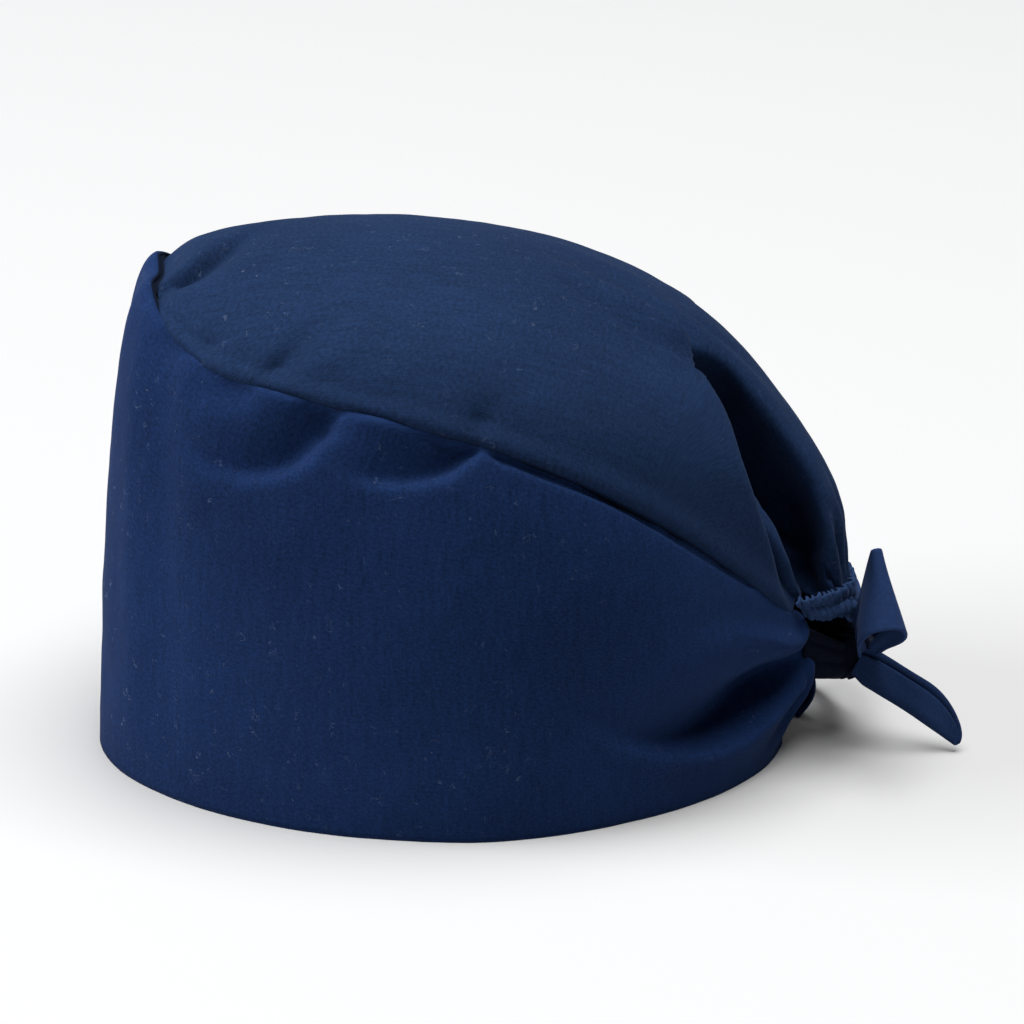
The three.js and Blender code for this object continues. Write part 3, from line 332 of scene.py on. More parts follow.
# %% Folds of the band
# each point is (row, share of the height, lift in mm, width in mm); rows below zero are on the right side
BAND_FOLDS = [
    # pucker under the front half of the seam: a hollow with a steep lower rim
    dict(path=[(2.9, 0.72, -0.5, 7), (3.3, 0.71, -3, 7.5), (3.75, 0.735, -6.5, 7.5), (4.1, 0.79, -8.4, 7),
               (4.36, 0.89, -7.4, 5.5)], lean=-0.4, into=(0.8, 0, 0.7)),
    dict(path=[(2.7, 0.84, -0.8, 7), (3.1, 0.89, -1.6, 6), (3.5, 0.94, -1.6, 5)]),
    # second pucker, further back
    dict(path=[(4.6, 0.775, -0.5, 5), (4.85, 0.78, -3, 5.6), (5.2, 0.815, -6, 6), (5.5, 0.875, -7, 5.6),
               (5.72, 0.95, -5.6, 4)], lean=-0.4, into=(0.8, 0, 0.7)),
    # cloth drawn in along the back half of the seam
    dict(path=[(6, 0.945, -2.6, 3), (6.6, 0.925, -2.4, 3), (7.4, 0.915, -2.2, 3), (8.4, 0.9, -1.6, 3),
               (9.3, 0.9, -1, 3)], lean=-0.7),
    dict(path=[(6.1, 0.9, 0.4, 3), (6.7, 0.88, 0.4, 3), (7.4, 0.87, 0.3, 3), (8.4, 0.86, 0.2, 3)], roll=1.4),
    # small bumps where the seam's stitches let the cloth out
    dict(path=[(3.72, 0.95, 1.5, 4), (4.05, 0.95, 1.2, 4)]),
    dict(path=[(4.72, 0.955, 1.6, 3.6), (5.05, 0.955, 1.4, 3.6)]),
    # soft upright crease beside the forehead: a crest, then a shallow valley behind it
    dict(path=[(1.6, 0.93, 0.6, 6), (1.85, 0.62, 0.9, 9), (1.95, 0.3, 0.8, 10), (2, 0.06, 0.6, 10)],
         lean=-0.3),
    dict(path=[(2.2, 0.9, -2.4, 7), (2.45, 0.6, -2, 9), (2.6, 0.3, -1.4, 10), (2.65, 0.06, -0.6, 10)],
         lean=0.1),
    dict(path=[(-1.8, 0.9, -1.4, 7), (-2.3, 0.55, -1, 7), (-2.45, 0.1, -0.6, 7)]),
    # dent at the back end, with a steep lower rim and a full fold above it
    dict(path=[(7.2, 0.235, -1.5, 7), (7.9, 0.2, -6.5, 9.5), (8.6, 0.19, -12, 11.5), (9.2, 0.23, -14.5, 11.5),
               (9.8, 0.32, -14.5, 9.5), (10.3, 0.42, -11.5, 7), (10.75, 0.54, -6, 4.5)], lean=-0.72),
    dict(path=[(7.3, 0.175, 0.5, 4), (8, 0.14, 1, 4), (8.7, 0.13, 1.6, 4), (9.4, 0.18, 2.2, 4.5),
               (10.1, 0.29, 2.8, 4.5), (10.65, 0.42, 2.6, 3.5)], roll=3),
    dict(path=[(7.6, 0.42, 0.4, 10), (8.7, 0.5, 1.8, 10), (9.7, 0.59, 3, 9), (10.6, 0.7, 2.6, 6)]),
    # creases that run to the back end
    dict(path=[(8.4, 0.62, -0.5, 6), (9.5, 0.7, -1.5, 5), (10.6, 0.78, -2, 3.5)]),
    # the turned edge of the back end
    dict(path=[(10.1, 0.08, 1, 4), (10.7, 0.2, 2.2, 3), (10.95, 0.42, 2.6, 2.6), (10.97, 0.66, 1.6, 2.4)]),
    # softer folds of the right side
    dict(path=[(-3.4, 0.86, -1.6, 11), (-4.2, 0.84, -2, 11), (-5, 0.92, -2.2, 10)]),
    dict(path=[(-7.8, 0.3, -1.2, 10), (-9, 0.34, -3.4, 10), (-10.4, 0.52, -3, 8)]),
]
print("folds:", len(CROWN_FOLDS), "on the crown,", len(BAND_FOLDS), "on the band")

# %% How far the folds move the cloth
def fold_path(surface, fold, steps=6):
    """A fold's path on its surface, smooth through its points, with its lift and width at every step."""
    names = ("first", "second", "lift", "width")
    rows = [dict(zip(names, place)) for place in fold["path"]]
    at = np.linspace(0, len(rows) - 1, steps * (len(rows) - 1) + 1)
    first, second, lift, width = (column(rows, name, at) for name in names)
    return surface(first, second), lift, width


def fold_moves(folds, surface, points, outward):
    """The deepest hollow and the highest ridge at each point, and how far the folds roll it sideways."""
    hollow = np.zeros(len(points))
    ridge = np.zeros(len(points))
    rolled = np.zeros_like(points)
    for fold in folds:
        path, lifts, widths = fold_path(surface, fold)
        reach = 3 * widths.max() + FOLD_SAG
        beside = np.all((points > path.min(0) - reach) & (points < path.max(0) + reach), axis=1)
        near, facing = points[beside], outward[beside]
        best = np.full(len(near), 1e9)
        share_at = np.zeros(len(near))
        side_at = np.zeros(len(near))
        across_at = np.zeros_like(near)
        for index in range(len(path) - 1):
            step = path[index + 1] - path[index]
            share = np.clip(((near - path[index]) @ step) / (step @ step), 0, 1)
            gap = near - path[index] - np.outer(share, step)
            through = np.sum(gap * facing, 1)
            gap = gap - along(facing, np.sign(through) * np.minimum(np.abs(through), FOLD_SAG))
            distance = np.linalg.norm(gap, axis=1)
            across = np.cross(facing, step)
            nearer = distance < best
            best = np.where(nearer, distance, best)
            share_at = np.where(nearer, index + share, share_at)
            side_at = np.where(nearer, np.tanh(np.sum(gap * unit(across), 1)), side_at)
            across_at = np.where(nearer[:, None], unit(across), across_at)
        steps = np.arange(len(path))
        width = np.interp(share_at, steps, widths) * (1 - fold.get("lean", 0) * side_at)
        bell = np.exp(-((best / width) ** 2))
        lift = np.interp(share_at, steps, lifts) * bell
        if "into" in fold:
            rolled[beside] += along(facing, lift) if fold["into"] is None else np.outer(lift, fold["into"])
            continue
        hollow[beside] = np.minimum(hollow[beside], lift)
        ridge[beside] = np.maximum(ridge[beside], lift)
        roll = fold.get("roll", 0) * bell * np.sin(np.pi * share_at / (len(path) - 1))
        rolled[beside] += along(across_at, roll)
    return hollow, ridge, rolled

# %% [markdown]
# ## From flat cloth to a formed piece
# A grid is added flat, then every point is moved to its place on the formed surface, as a sculptor would
# with many small moves. The threads of the weave run along the grid, so its UV map is measured in metres
# along the cloth: a pattern then keeps its real size wherever the cloth turns.

# %% Helpers that make a grid and form it
def choose(piece):
    """Selects one piece alone, because an operator acts on all that is selected."""
    bpy.ops.object.select_all(action="DESELECT")
    bpy.context.view_layer.objects.active = piece
    piece.select_set(True)


def flat_grid(name, columns, rows):
    """A flat grid of one by one, with its first coordinate across and its second along."""
    bpy.ops.object.select_all(action="DESELECT")
    bpy.ops.mesh.primitive_grid_add(x_subdivisions=columns, y_subdivisions=rows, size=1, location=(0, 0, 0))
    piece = bpy.context.object
    piece.name = piece.data.name = name
    return piece


def points_of(piece):
    """Where the points of a piece are, one row each."""
    flat = np.empty(len(piece.data.vertices) * 3)
    piece.data.vertices.foreach_get("co", flat)
    return flat.reshape(-1, 3)


def grid_places(piece):
    """Each point's place on the flat grid, from 0 to 1 each way."""
    places = points_of(piece)[:, :2] + 0.5
    return places[:, 0], places[:, 1]


def form(piece, points_mm):
    """Moves the points to their places, given in millimetres."""
    piece.data.vertices.foreach_set("co", (points_mm * MM).ravel())
    piece.data.update()


# %% Helpers that lay the two UV maps
def fill_map(piece, layer, places):
    """Gives every corner of a face the place of its point on the map."""
    corners = np.empty(len(piece.data.loops), int)
    piece.data.loops.foreach_get("vertex_index", corners)
    layer.data.foreach_set("uv", places[corners].ravel())


def lay_threads(piece, across, lengthways):
    """Measures the first UV map along the formed cloth, in metres from the middle of the grid."""
    points = points_of(piece)
    order = np.lexsort((across.round(6), lengthways.round(6)))
    columns = len(np.unique(across.round(6)))
    sheet = points[order].reshape(-1, columns, 3)
    steps = np.linalg.norm(np.diff(sheet, axis=1), axis=2)
    u = np.concatenate([np.zeros((len(sheet), 1)), np.cumsum(steps, 1)], 1)
    u = u - u[:, columns // 2][:, None]
    middle = sheet[:, columns // 2]
    v = np.concatenate([[0], np.cumsum(np.linalg.norm(np.diff(middle, axis=0), axis=1))])
    places = np.empty((len(points), 2))
    places[order, 0] = u.ravel()
    places[order, 1] = np.repeat(v, columns)
    fill_map(piece, piece.data.uv_layers[0], places)


def lay_edge_threads(piece, from_edge_mm, lengthways_mm):
    """A second UV map for stitches and for the painted shade along the seam: how far a point is from the
    cloth's edge, and how far along.
    """
    layer = piece.data.uv_layers.new(name="edge")
    fill_map(piece, layer, np.stack([from_edge_mm, lengthways_mm], -1) * MM)
    piece.data.uv_layers.active_index = 0


# %% A helper that gives the cloth its thickness
def finish_cloth(piece, wall_mm, levels=1, flip=False):
    """Turns the cloth to face outwards if need be, gives it thickness inwards, and rounds its edges."""
    choose(piece)
    if flip:
        bpy.ops.object.mode_set(mode="EDIT")
        bpy.ops.mesh.select_all(action="SELECT")
        bpy.ops.mesh.flip_normals()
        bpy.ops.object.mode_set(mode="OBJECT")
    wall = piece.modifiers.new("cloth_thickness", "SOLIDIFY")
    wall.thickness = wall_mm * MM
    wall.offset = -1
    wall.use_even_offset = False
    bpy.ops.object.modifier_apply(modifier=wall.name)
    if levels:
        soft = piece.modifiers.new("soft_edges", "SUBSURF")
        soft.levels = soft.render_levels = levels
        soft.uv_smooth = "NONE"
        bpy.ops.object.modifier_apply(modifier=soft.name)
    bpy.ops.object.shade_smooth()
    mesh = piece.data
    mesh.calc_loop_triangles()
    area = sum(face.area for face in mesh.polygons)
    print(piece.name, "triangles", len(mesh.loop_triangles), "area of one side, m2:", round(area / 2, 4))

# %% [markdown]
# ## The side band
# The band is one strip of cloth from one back end round the forehead to the other. Its lower edge is the
# rim that the cap stands on, and its upper edge is sewn to the crown. A long grid is formed on the band's
# wall, with its folds, and small puckers where the seam draws the cloth in. An extruded ring would be made
# sooner, but only a fine grid has the points that soft folds need.

# %% Place of the band's cloth
# heights are shares of the band's own height, from the rim (0) to the seam (1)
PUCKER_MM = 0.55
PUCKER_REACH = 0.09  # how far down from the seam the puckers go
EDGE_ROLL = 1  # how far the band's upper edge rolls in at the seam, in mm
EDGE_ROLL_FROM = 0.965
RIM_CALM = 0.12  # the folds fade out towards the rim
SEAM_CALM = 0.06  # and towards the seam
BACK_DRAWN = 3.5  # how far the left end's edge is drawn forwards, low down, in mm
BACK_PUSHED = 7  # how far the right end's edge stands further back
BACK_FROM_ROW = 9.6
BACK_HEIGHT = 0.16
BACK_REACH = 0.22


def seam_pucker(row):
    """Small uneven waves that the stitches of the seam leave in the cloth, in millimetres."""
    slow = np.sin(row * 5.1 + 0.7) * np.sin(row * 1.7 + 1.1)
    quick = np.sin(row * 12.3 + 2 * np.sin(row * 2.3))
    return PUCKER_MM * (0.7 * slow + 0.4 * quick) * smooth((np.abs(row) - 0.8) / 1.5)


def back_drawn(row, up):
    """How far the band's two ends are drawn forwards, in millimetres."""
    rows = LAST_BAND_ROW - BACK_FROM_ROW
    left = BACK_DRAWN * smooth((row - BACK_FROM_ROW) / rows)
    right = BACK_PUSHED * smooth((-row - BACK_FROM_ROW) / rows)
    return (left - right) * np.exp(-(((up - BACK_HEIGHT) / BACK_REACH) ** 2))


def band_place(row, up):
    """The band with its folds; rows above zero are on the left side."""
    point = band_wall(row, up)
    outward = band_outward(row, up)
    hollow, ridge, rolled = fold_moves(BAND_FOLDS, band_wall, point, outward)
    fade = smooth(up / RIM_CALM) * smooth((1 - up) / SEAM_CALM)
    puckered = seam_pucker(row) * np.exp(-(((1 - up) / PUCKER_REACH) ** 2))
    turned_in = EDGE_ROLL * smooth((up - EDGE_ROLL_FROM) / (1 - EDGE_ROLL_FROM))
    point = point + along(outward, fade * (hollow + ridge) + puckered - turned_in) + along(rolled, fade)
    return point - along(np.array([0, 1, 0]) + 0 * point, back_drawn(row, up))


# %% Small wrinkles
def crumple(piece, size_mm, height_mm, seed):
    """Adds soft uneven wrinkles of about one size; seed picks a patch of the same cloudy pattern."""
    clouds = bpy.data.textures.new(f"{piece.name}_wrinkles_{seed}", "CLOUDS")
    clouds.noise_scale = size_mm * MM
    clouds.noise_depth = 1
    place = bpy.data.objects.new(f"{piece.name}_wrinkle_place_{seed}", None)
    bpy.context.collection.objects.link(place)
    place.location = (seed * 0.37, seed * 0.11, seed * 0.53)
    bpy.context.view_layer.update()
    bump = piece.modifiers.new("wrinkles", "DISPLACE")
    bump.texture = clouds
    bump.texture_coords = "OBJECT"
    bump.texture_coords_object = place
    bump.strength = height_mm * MM
    bump.mid_level = 0.5
    choose(piece)
    bpy.ops.object.modifier_apply(modifier=bump.name)
    bpy.data.objects.remove(place)


# %% Make the band
BAND_COLUMNS = 400
BAND_STEPS_UP = 84
side_band = flat_grid("band_cloth_piece", BAND_COLUMNS, BAND_STEPS_UP)
across, up = grid_places(side_band)
row = (across * 2 - 1) * LAST_BAND_ROW
points = band_place(row, up)
points[up < 1e-6, 2] = 0  # the rim stands flat
form(side_band, points)
lay_threads(side_band, across, up)
band_height = band_wall(row, np.ones_like(row))[:, 2]
# the edge map measures from the seam, for the painted shade along it
lay_edge_threads(side_band, (1 - up) * band_height, across * 3 * RIM_LENGTH)
crumple(side_band, size_mm=34, height_mm=0.9, seed=1)
crumple(side_band, size_mm=11, height_mm=0.35, seed=2)
finish_cloth(side_band, CLOTH_WALL, levels=0)
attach(side_band, "root")
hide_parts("side_band")

# %% [markdown]
# ## The crown
# The crown is one round piece, gathered into the band's seam and over an elastic behind. It is formed on
# arches from seam to seam. Its edge goes on under the band's edge, as the seam allowance does, so no gap
# shows. Its folds run down from the top of the back into the casing. A dome shaped from a sphere would bunch
# its faces at a pole. The arches keep them even, and the threads run as they do in cut cloth.

# %% The crown's hidden edge
CROWN_LAP_TURN = 3
CROWN_LAP_ROWS = 0.25
LAP_LEAN = 0.8  # how much further in the lower edge of the lap lies, in mm


def lap_place(row, depth):
    """The crown's seam allowance, inside the band and a little below the seam."""
    height = band_wall(row, np.ones_like(row))[:, 2]
    up = 1 - depth / height
    inwards = CLOTH_WALL + SEAM_GAP + LAP_LEAN * depth / SEAM_LAP
    return band_place(row, up) - along(band_outward(row, up), inwards)


# %% The crown beside its seam and its casing
BACK_EDGE_MM = CASING_HEIGHT - 1.2
SEAM_BULGE = 1.8  # how far the crown's cloth stands out above the seam, in mm
SEAM_DROP = 1  # how far it hangs over the seam
SEAM_BULGE_TURN = 85.5
SEAM_BULGE_REACH = 3.6
SEAM_OPENINGS = [dict(row=3.6, reach=0.3, opening=0.5), dict(row=4.75, reach=0.4, opening=1.2)]


def seam_opening(row):
    """How far the seam stands open beside each of the two puckers, in millimetres."""
    opening = 0
    for spot in SEAM_OPENINGS:
        opening = opening + spot["opening"] * np.exp(-(((row - spot["row"]) / spot["reach"]) ** 2))
    return opening


def crown_row_at(share, turn):
    """The row where the crown stops above the casing."""
    end = np.full_like(share, LAST_CROWN_ROW)
    length = 2 * np.linalg.norm(crown_arch(end, turn) - crown_arch(end - 0.5, turn), axis=1)
    return share - BACK_EDGE_MM / length * smooth((share - LAST_CROWN_ROW + 3) / 3)


# %% Place of the crown's cloth
FOLDS_AT_CASING = 0.45  # share of the folds' height that the elastic leaves
CASING_CALM = 0.6  # in rows
FRONT_CALM = 0.35
SIDE_CALM = 14  # in degrees
RIDGES_END = 84
RIDGES_CALM = 20


def crown_place(row_share, turn_given):
    """The crown with its folds; past the seam it goes on as the hidden edge."""
    turn = np.clip(turn_given, -90, 90)
    row = crown_row_at(np.clip(row_share, 0, LAST_CROWN_ROW), turn)
    side = np.where(turn < 0, -1, 1)
    steep = np.abs(turn)
    inset = along(band_outward(row + 1, np.ones_like(row)), CLOTH_WALL + SEAM_GAP + 0 * row)
    point = crown_arch(row, turn, inset)
    outward = -outward_of(crown_arch, row, np.clip(turn, -89.9, 89.9))
    hollow, ridge, rolled = fold_moves(CROWN_FOLDS, crown_arch, crown_arch(row, turn), outward)
    at_casing = FOLDS_AT_CASING + (1 - FOLDS_AT_CASING) * smooth((LAST_CROWN_ROW - row) / CASING_CALM)
    fade = at_casing * smooth(row / FRONT_CALM) * smooth((90 - steep) / SIDE_CALM)
    beside = smooth((steep - SEAM_TUCK_FROM) / (90 - SEAM_TUCK_FROM))
    front = 1 - smooth(row)
    tuck = SEAM_TUCK + seam_opening(row + 1)
    point = point - along(band_outward(side * (row + 1), np.ones_like(row)), tuck * beside)
    point = point - along(band_outward(turn / 90, np.ones_like(row)), SEAM_TUCK * front * (1 - beside))
    ridge_share = smooth((RIDGES_END - steep) / RIDGES_CALM)
    point = point + along(outward, fade * (hollow + ridge * ridge_share)) + along(rolled, fade)
    bulge = np.exp(-(((steep - SEAM_BULGE_TURN) / SEAM_BULGE_REACH) ** 2)) * smooth((row - 0.2) / 1.2)
    point = point + along(outward, SEAM_BULGE * bulge)
    point[:, 2] -= SEAM_DROP * bulge
    depth_side = np.clip((np.abs(turn_given) - 90) / CROWN_LAP_TURN, 0, 1)
    depth_front = np.clip(-row_share / CROWN_LAP_ROWS, 0, 1)
    lap_row = np.where(steep >= 90, side * (row + 1), turn / 90)
    lap = lap_place(lap_row, SEAM_LAP * np.maximum(depth_side, depth_front))
    hidden = (steep >= 90) | (row_share <= 0)
    return np.where(hidden[:, None], lap, point)


# %% Make the crown
CROWN_COLUMNS = 240
CROWN_STEPS_BACK = 176
COLUMN_EASING = 0.3  # columns lie closer together beside the seam than over the middle
ROW_EASING = 0.95  # and rows a little closer together behind than in front
CROWN_MM_A_DEGREE = 1.15  # length on the cloth beside the seam
CROWN_DEGREES_A_ROW = 12
crown = flat_grid("crown_cloth_piece", CROWN_COLUMNS, CROWN_STEPS_BACK)
across, lengthways = grid_places(crown)
from_middle = across * 2 - 1
eased = (1 + COLUMN_EASING) * from_middle - COLUMN_EASING * from_middle**3
turn_given = eased * (90 + CROWN_LAP_TURN)
row_share = (LAST_CROWN_ROW + CROWN_LAP_ROWS) * lengthways**ROW_EASING - CROWN_LAP_ROWS
form(crown, crown_place(row_share, turn_given))
lay_threads(crown, across, lengthways)
# the edge map measures from the seam, for the painted shade along it
from_seam = np.minimum(90 - np.abs(turn_given), CROWN_DEGREES_A_ROW * row_share) * CROWN_MM_A_DEGREE
lay_edge_threads(crown, np.maximum(from_seam, 0), lengthways * 1.2 * RIM_LENGTH)
crumple(crown, size_mm=30, height_mm=1.1, seed=3)
crumple(crown, size_mm=10, height_mm=0.4, seed=4)
finish_cloth(crown, CLOTH_WALL, levels=0, flip=True)
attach(crown, "root")
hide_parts("crown_panel")

# %% [markdown]
# ## The casing
# Behind, the crown's edge is turned over an elastic, which gathers it into a short ruffled frill. It is
# formed like a ribbon along the crown's back edge: drawn in where the elastic runs, and waved at its edges.
# One ruffle could be modelled and copied, but copies look alike, and real gathers never do.

# %% Place of the casing's cloth
CASING_REACH = 78  # degrees to each side of the middle
CASING_GATHERS = 25
CASING_RAISE = 1.6
CASING_INSET = 1.8
CASING_OVERLAP = 1.5  # how much taller the channel is than its named height, in mm
CASING_LINE = 0.55  # the elastic's height in the channel, as a share
# places where the lower edge hangs down, in degrees and mm
CASING_LIPS = [dict(turn=8, reach=18, drop=1.2), dict(turn=16, reach=9, drop=5)]


def casing_place(turn, high):
    """turn is degrees along the crown's back edge, high runs from the lower edge (0) to the upper (1)."""
    end = np.full_like(turn, LAST_CROWN_ROW)
    inset = along(band_outward(end + 1, np.ones_like(end)), CASING_INSET + 0 * end)
    edge = crown_arch(end, turn, inset)
    upwards = unit(crown_arch(end - 0.3, turn, inset) - edge)
    outward = -outward_of(crown_arch, end - 0.02, turn)
    uneven_turn = turn / CASING_REACH + 0.05 * np.sin(turn / 9)
    gather = np.pi * CASING_GATHERS * uneven_turn + np.sin(turn / 3.7)
    lip = 0
    for spot in CASING_LIPS:
        lip = lip + spot["drop"] * smooth(1 - np.abs(turn - spot["turn"]) / spot["reach"])
    from_elastic = np.abs(high - CASING_LINE) / CASING_LINE
    wave = (0.25 + 0.9 * from_elastic**1.5) * np.sin(gather + 1.3 * high)
    lower_puff = 0.9 * np.sin(np.pi * np.clip(high / 0.5, 0, 1))
    upper_puff = 0.5 * np.sin(np.pi * np.clip((high - 0.6) / 0.4, 0, 1))
    height = CASING_HEIGHT + CASING_OVERLAP
    lift = CASING_RAISE + (high - 0.5) * height + CASING_HEIGHT / 2 - lip * (1 - high)
    lift = lift + 0.3 * from_elastic * np.cos(gather * 0.7 + 0.6)
    return edge + along(upwards, lift) + along(outward, 0.3 + lower_puff + upper_puff + wave)


# %% Make the casing
CASING_COLUMNS = 280
CASING_STEPS_UP = 14
casing = flat_grid("casing_cloth_piece", CASING_COLUMNS, CASING_STEPS_UP)
across, lengthways = grid_places(casing)
form(casing, casing_place((across * 2 - 1) * CASING_REACH, lengthways))
lay_threads(casing, across, lengthways)
crumple(casing, size_mm=2.2, height_mm=1.5, seed=5)
finish_cloth(casing, 1.0)
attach(casing, "root")
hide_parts("elastic_casing")

# %% [markdown]
# ## The ties
# The band's binding ends in two straps, which are drawn together and tied in a bow. Every strap is cloth
# folded on itself and stitched along its edges, about 24 mm wide, or half of that where it lies folded once
# more. Each is a grid bent along its path. A curve with a flat profile would follow a path too, but it
# can't open into a loop, narrow to a point or be squeezed into pleats on the way.

# %% Named sizes of the ties, in millimetres
LOOP_WALL = 1.2
LOOP_GAP = 0.3
KNOT_CENTRE = np.array([0, back_to_y(CROWN_ROWS[-1]["back"]) - 3, CROWN_ROWS[-1]["up"] * CROWN_HEIGHT - 15])
KNOT_HALF_WIDTH = 7.5
KNOT_HALF_DEPTH = 8
KNOT_HALF_HEIGHT = 8.8
STITCH_INSET = 1.6


def make_strap(name, node, columns, rows, place, wall, half_width, length):
    """A strap from a flat grid; place gives each point from its share across (-1 to 1) and along (0 to 1)."""
    piece = flat_grid(name, columns, rows)
    across, lengthways = grid_places(piece)
    wide = across * 2 - 1
    form(piece, place(wide, lengthways))
    lay_threads(piece, across, lengthways)
    lay_edge_threads(piece, (1 - np.abs(wide)) * half_width, lengthways * length)
    finish_cloth(piece, wall)
    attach(piece, "root")
    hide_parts(node)
    return piece


# %% [markdown]
# ### Bow loops
# A loop leaves the knot on one ply, turns round its fold and comes back on the other. Near the knot the
# strap is squeezed into small pleats. The number called pinch brings the plies together along one edge: on
# the left loop they nearly meet at the upper edge, so its end looks like a narrow wedge from the side.

# %% Make the bow loops
LOOPS = [
    dict(name="bow_loop_left_piece", node="bow_loop_left", root=(5.9, 129.1, 32), tip=(31, 131.8, 60),
         across=(0.4, 0.12, -0.91), spread=2.9, pinch=0.94, root_half=5.5, tip_half=12.5, pleats=1.1),
    dict(name="bow_loop_right_piece", node="bow_loop_right", root=(-6.1, 126.9, 30.2), tip=(-38, 119, 29.5),
         across=(0.08, 0.1, 1), spread=4.4, pinch=0.2, root_half=5.5, tip_half=10.5, pleats=1),
]
LOOP_CLOSING = 0.94  # share of a whole turn that a loop makes
LOOP_WIDENING = 1.15
LOOP_PLEATS_END = 1.4


def loop_place(loop, wide, share):
    """A point of a loop, which starts at its root on one ply (0) and ends there on the other (1)."""
    root, tip = np.array(loop["root"]), np.array(loop["tip"], float)
    length = np.linalg.norm(tip - root)
    axis = (tip - root) / length
    across = unit(np.array(loop["across"], float))
    sideways = unit(np.cross(across, axis))
    angle = np.pi * LOOP_CLOSING * (2 * share - 1)
    reach = np.cos(angle / 2)
    spread = loop["spread"]
    apart = spread * np.sin(angle) + np.tanh(angle * 4) * (LOOP_WALL + LOOP_GAP) / 2
    widening = (loop["tip_half"] - loop["root_half"]) * smooth(reach * LOOP_WIDENING)
    half = loop["root_half"] + widening
    pleat = loop["pleats"] * (1 - smooth(reach * LOOP_PLEATS_END)) * np.sin(wide * 7.5 + 1)
    apart = apart + loop["pinch"] * wide * half / loop["tip_half"] * spread * np.sin(angle)
    apart = apart + pleat * np.sign(np.sin(angle)) + 0.35 * np.sin(wide * 2.2 + share * 9)
    middle = root + np.outer(length * reach, axis) + np.outer(apart, sideways)
    return middle + np.outer(wide * half, across)


for loop in LOOPS:
    length = 2.2 * np.linalg.norm(np.array(loop["tip"], float) - np.array(loop["root"]))
    piece = make_strap(loop["name"], loop["node"], 22, 84, lambda w, s: loop_place(loop, w, s), LOOP_WALL,
                       loop["tip_half"], length)

# %% [markdown]
# ### Tails
# A tail is the strap folded along its length. The near ply ends part of the way up, so its edge leaves a
# groove along the tail, and the far ply stands above it. The end is cut to a slanting point.

# %% Make the tails
TAILS = [
    dict(name="tie_tail_left_piece", node="tie_tail_left", root=(8, 126.8, 27), bend=(12.5, 144, 18.6),
         tip=(15, 160.5, 6.4), side=(1, 0.1, 0.1), body_height=11.6, point_length=19),
    dict(name="tie_tail_right_piece", node="tie_tail_right", root=(-6.6, 126.2, 21.5), bend=(-24, 124, 9.5),
         tip=(-50, 104, 6), side=(-0.6, 0.8, 0.1), body_height=9.6, point_length=16),
]
TAIL_WALL = 1.1
TAIL_THICKNESS = 4.4
TAIL_TIP = 0.08  # share of the height that is left at the very tip
# the folded section from the near ply's edge round the lower fold to the far ply's edge
TAIL_SECTION = [
    dict(high=0.62, thick=0.8),
    dict(high=0.54, thick=1),
    dict(high=0, thick=1),
    dict(high=-0.6, thick=0.95),
    dict(high=-0.95, thick=0.4),
    dict(high=-0.98, thick=-0.3),
    dict(high=-0.6, thick=-0.75),
    dict(high=0, thick=-0.8),
    dict(high=0.5, thick=-0.7),
    dict(high=0.85, thick=-0.35),
    dict(high=1, thick=-0.4),
]


def tail_place(tail, wide, share):
    """A point of a tail: wide follows its folded section, share runs from the knot (0) to the tip (1)."""
    root, bend, tip = (np.array(tail[key], float) for key in ("root", "bend", "tip"))
    side = unit(np.array(tail["side"], float))
    rest = 1 - share
    middle = np.outer(rest**2, root) + np.outer(2 * share * rest, bend) + np.outer(share**2, tip)
    heading = unit(np.outer(rest, bend - root) + np.outer(share, tip - bend))
    upwards = unit(np.cross(np.broadcast_to(side, heading.shape), heading))
    upwards = along(upwards, np.where(upwards[:, 2] < 0, -1, 1))
    outwards = unit(np.cross(heading, upwards))
    outwards = along(outwards, np.where(outwards @ side < 0, -1, 1))
    length = np.linalg.norm(tip - root)
    nose = np.clip(rest * length / tail["point_length"], 0, 1)
    point = np.maximum(TAIL_TIP, np.sqrt(1 - (1 - nose) ** 2))
    full = tail["body_height"] / 2
    half = full * np.minimum(1, 0.75 + 2 * share) * point
    middle = middle - along(upwards, full * (1 - point))
    place = (wide + 1) / 2 * (len(TAIL_SECTION) - 1)
    high = column(TAIL_SECTION, "high", place)
    thick = column(TAIL_SECTION, "thick", place) * (TAIL_THICKNESS / 2 - 0.5) * (0.5 + 0.5 * point)
    ripple = 0.3 * np.sin(share * 13 + high * 2)
    return middle + along(upwards, high * half) + along(outwards, thick + ripple)


for tail in TAILS:
    length = 1.04 * np.linalg.norm(np.array(tail["tip"], float) - np.array(tail["root"]))
    piece = make_strap(tail["name"], tail["node"], 40, 60, lambda w, s: tail_place(tail, w, s), TAIL_WALL,
                       1.75 * tail["body_height"], length)

# %% [markdown]
# ### Tie roots
# Between the band's back ends and the knot the binding runs on as a short strap on each side, squeezed from
# the band's edge into the knot.

# %% Make the tie roots
ROOT_WALL = 2.2
ROOT_HALF_AT_BAND = 8.6
ROOT_HALF_AT_KNOT = 5
ROOT_TALLER = 2.5  # how much higher the upper edge starts at the band, so that no gap shows there
ROOT_UP = 0.62  # where on the band's height it starts
ROOT_GAP = -0.8
ROOT_FORWARD = 1.5
ROOT_SAG = 1


def band_end(side, up, rows_before=0):
    """One point at the band's left (1) or right (-1) end, or a little before it."""
    row = np.array([side * (LAST_BAND_ROW - rows_before)], float)
    return band_place(row, np.array([up]))[0]


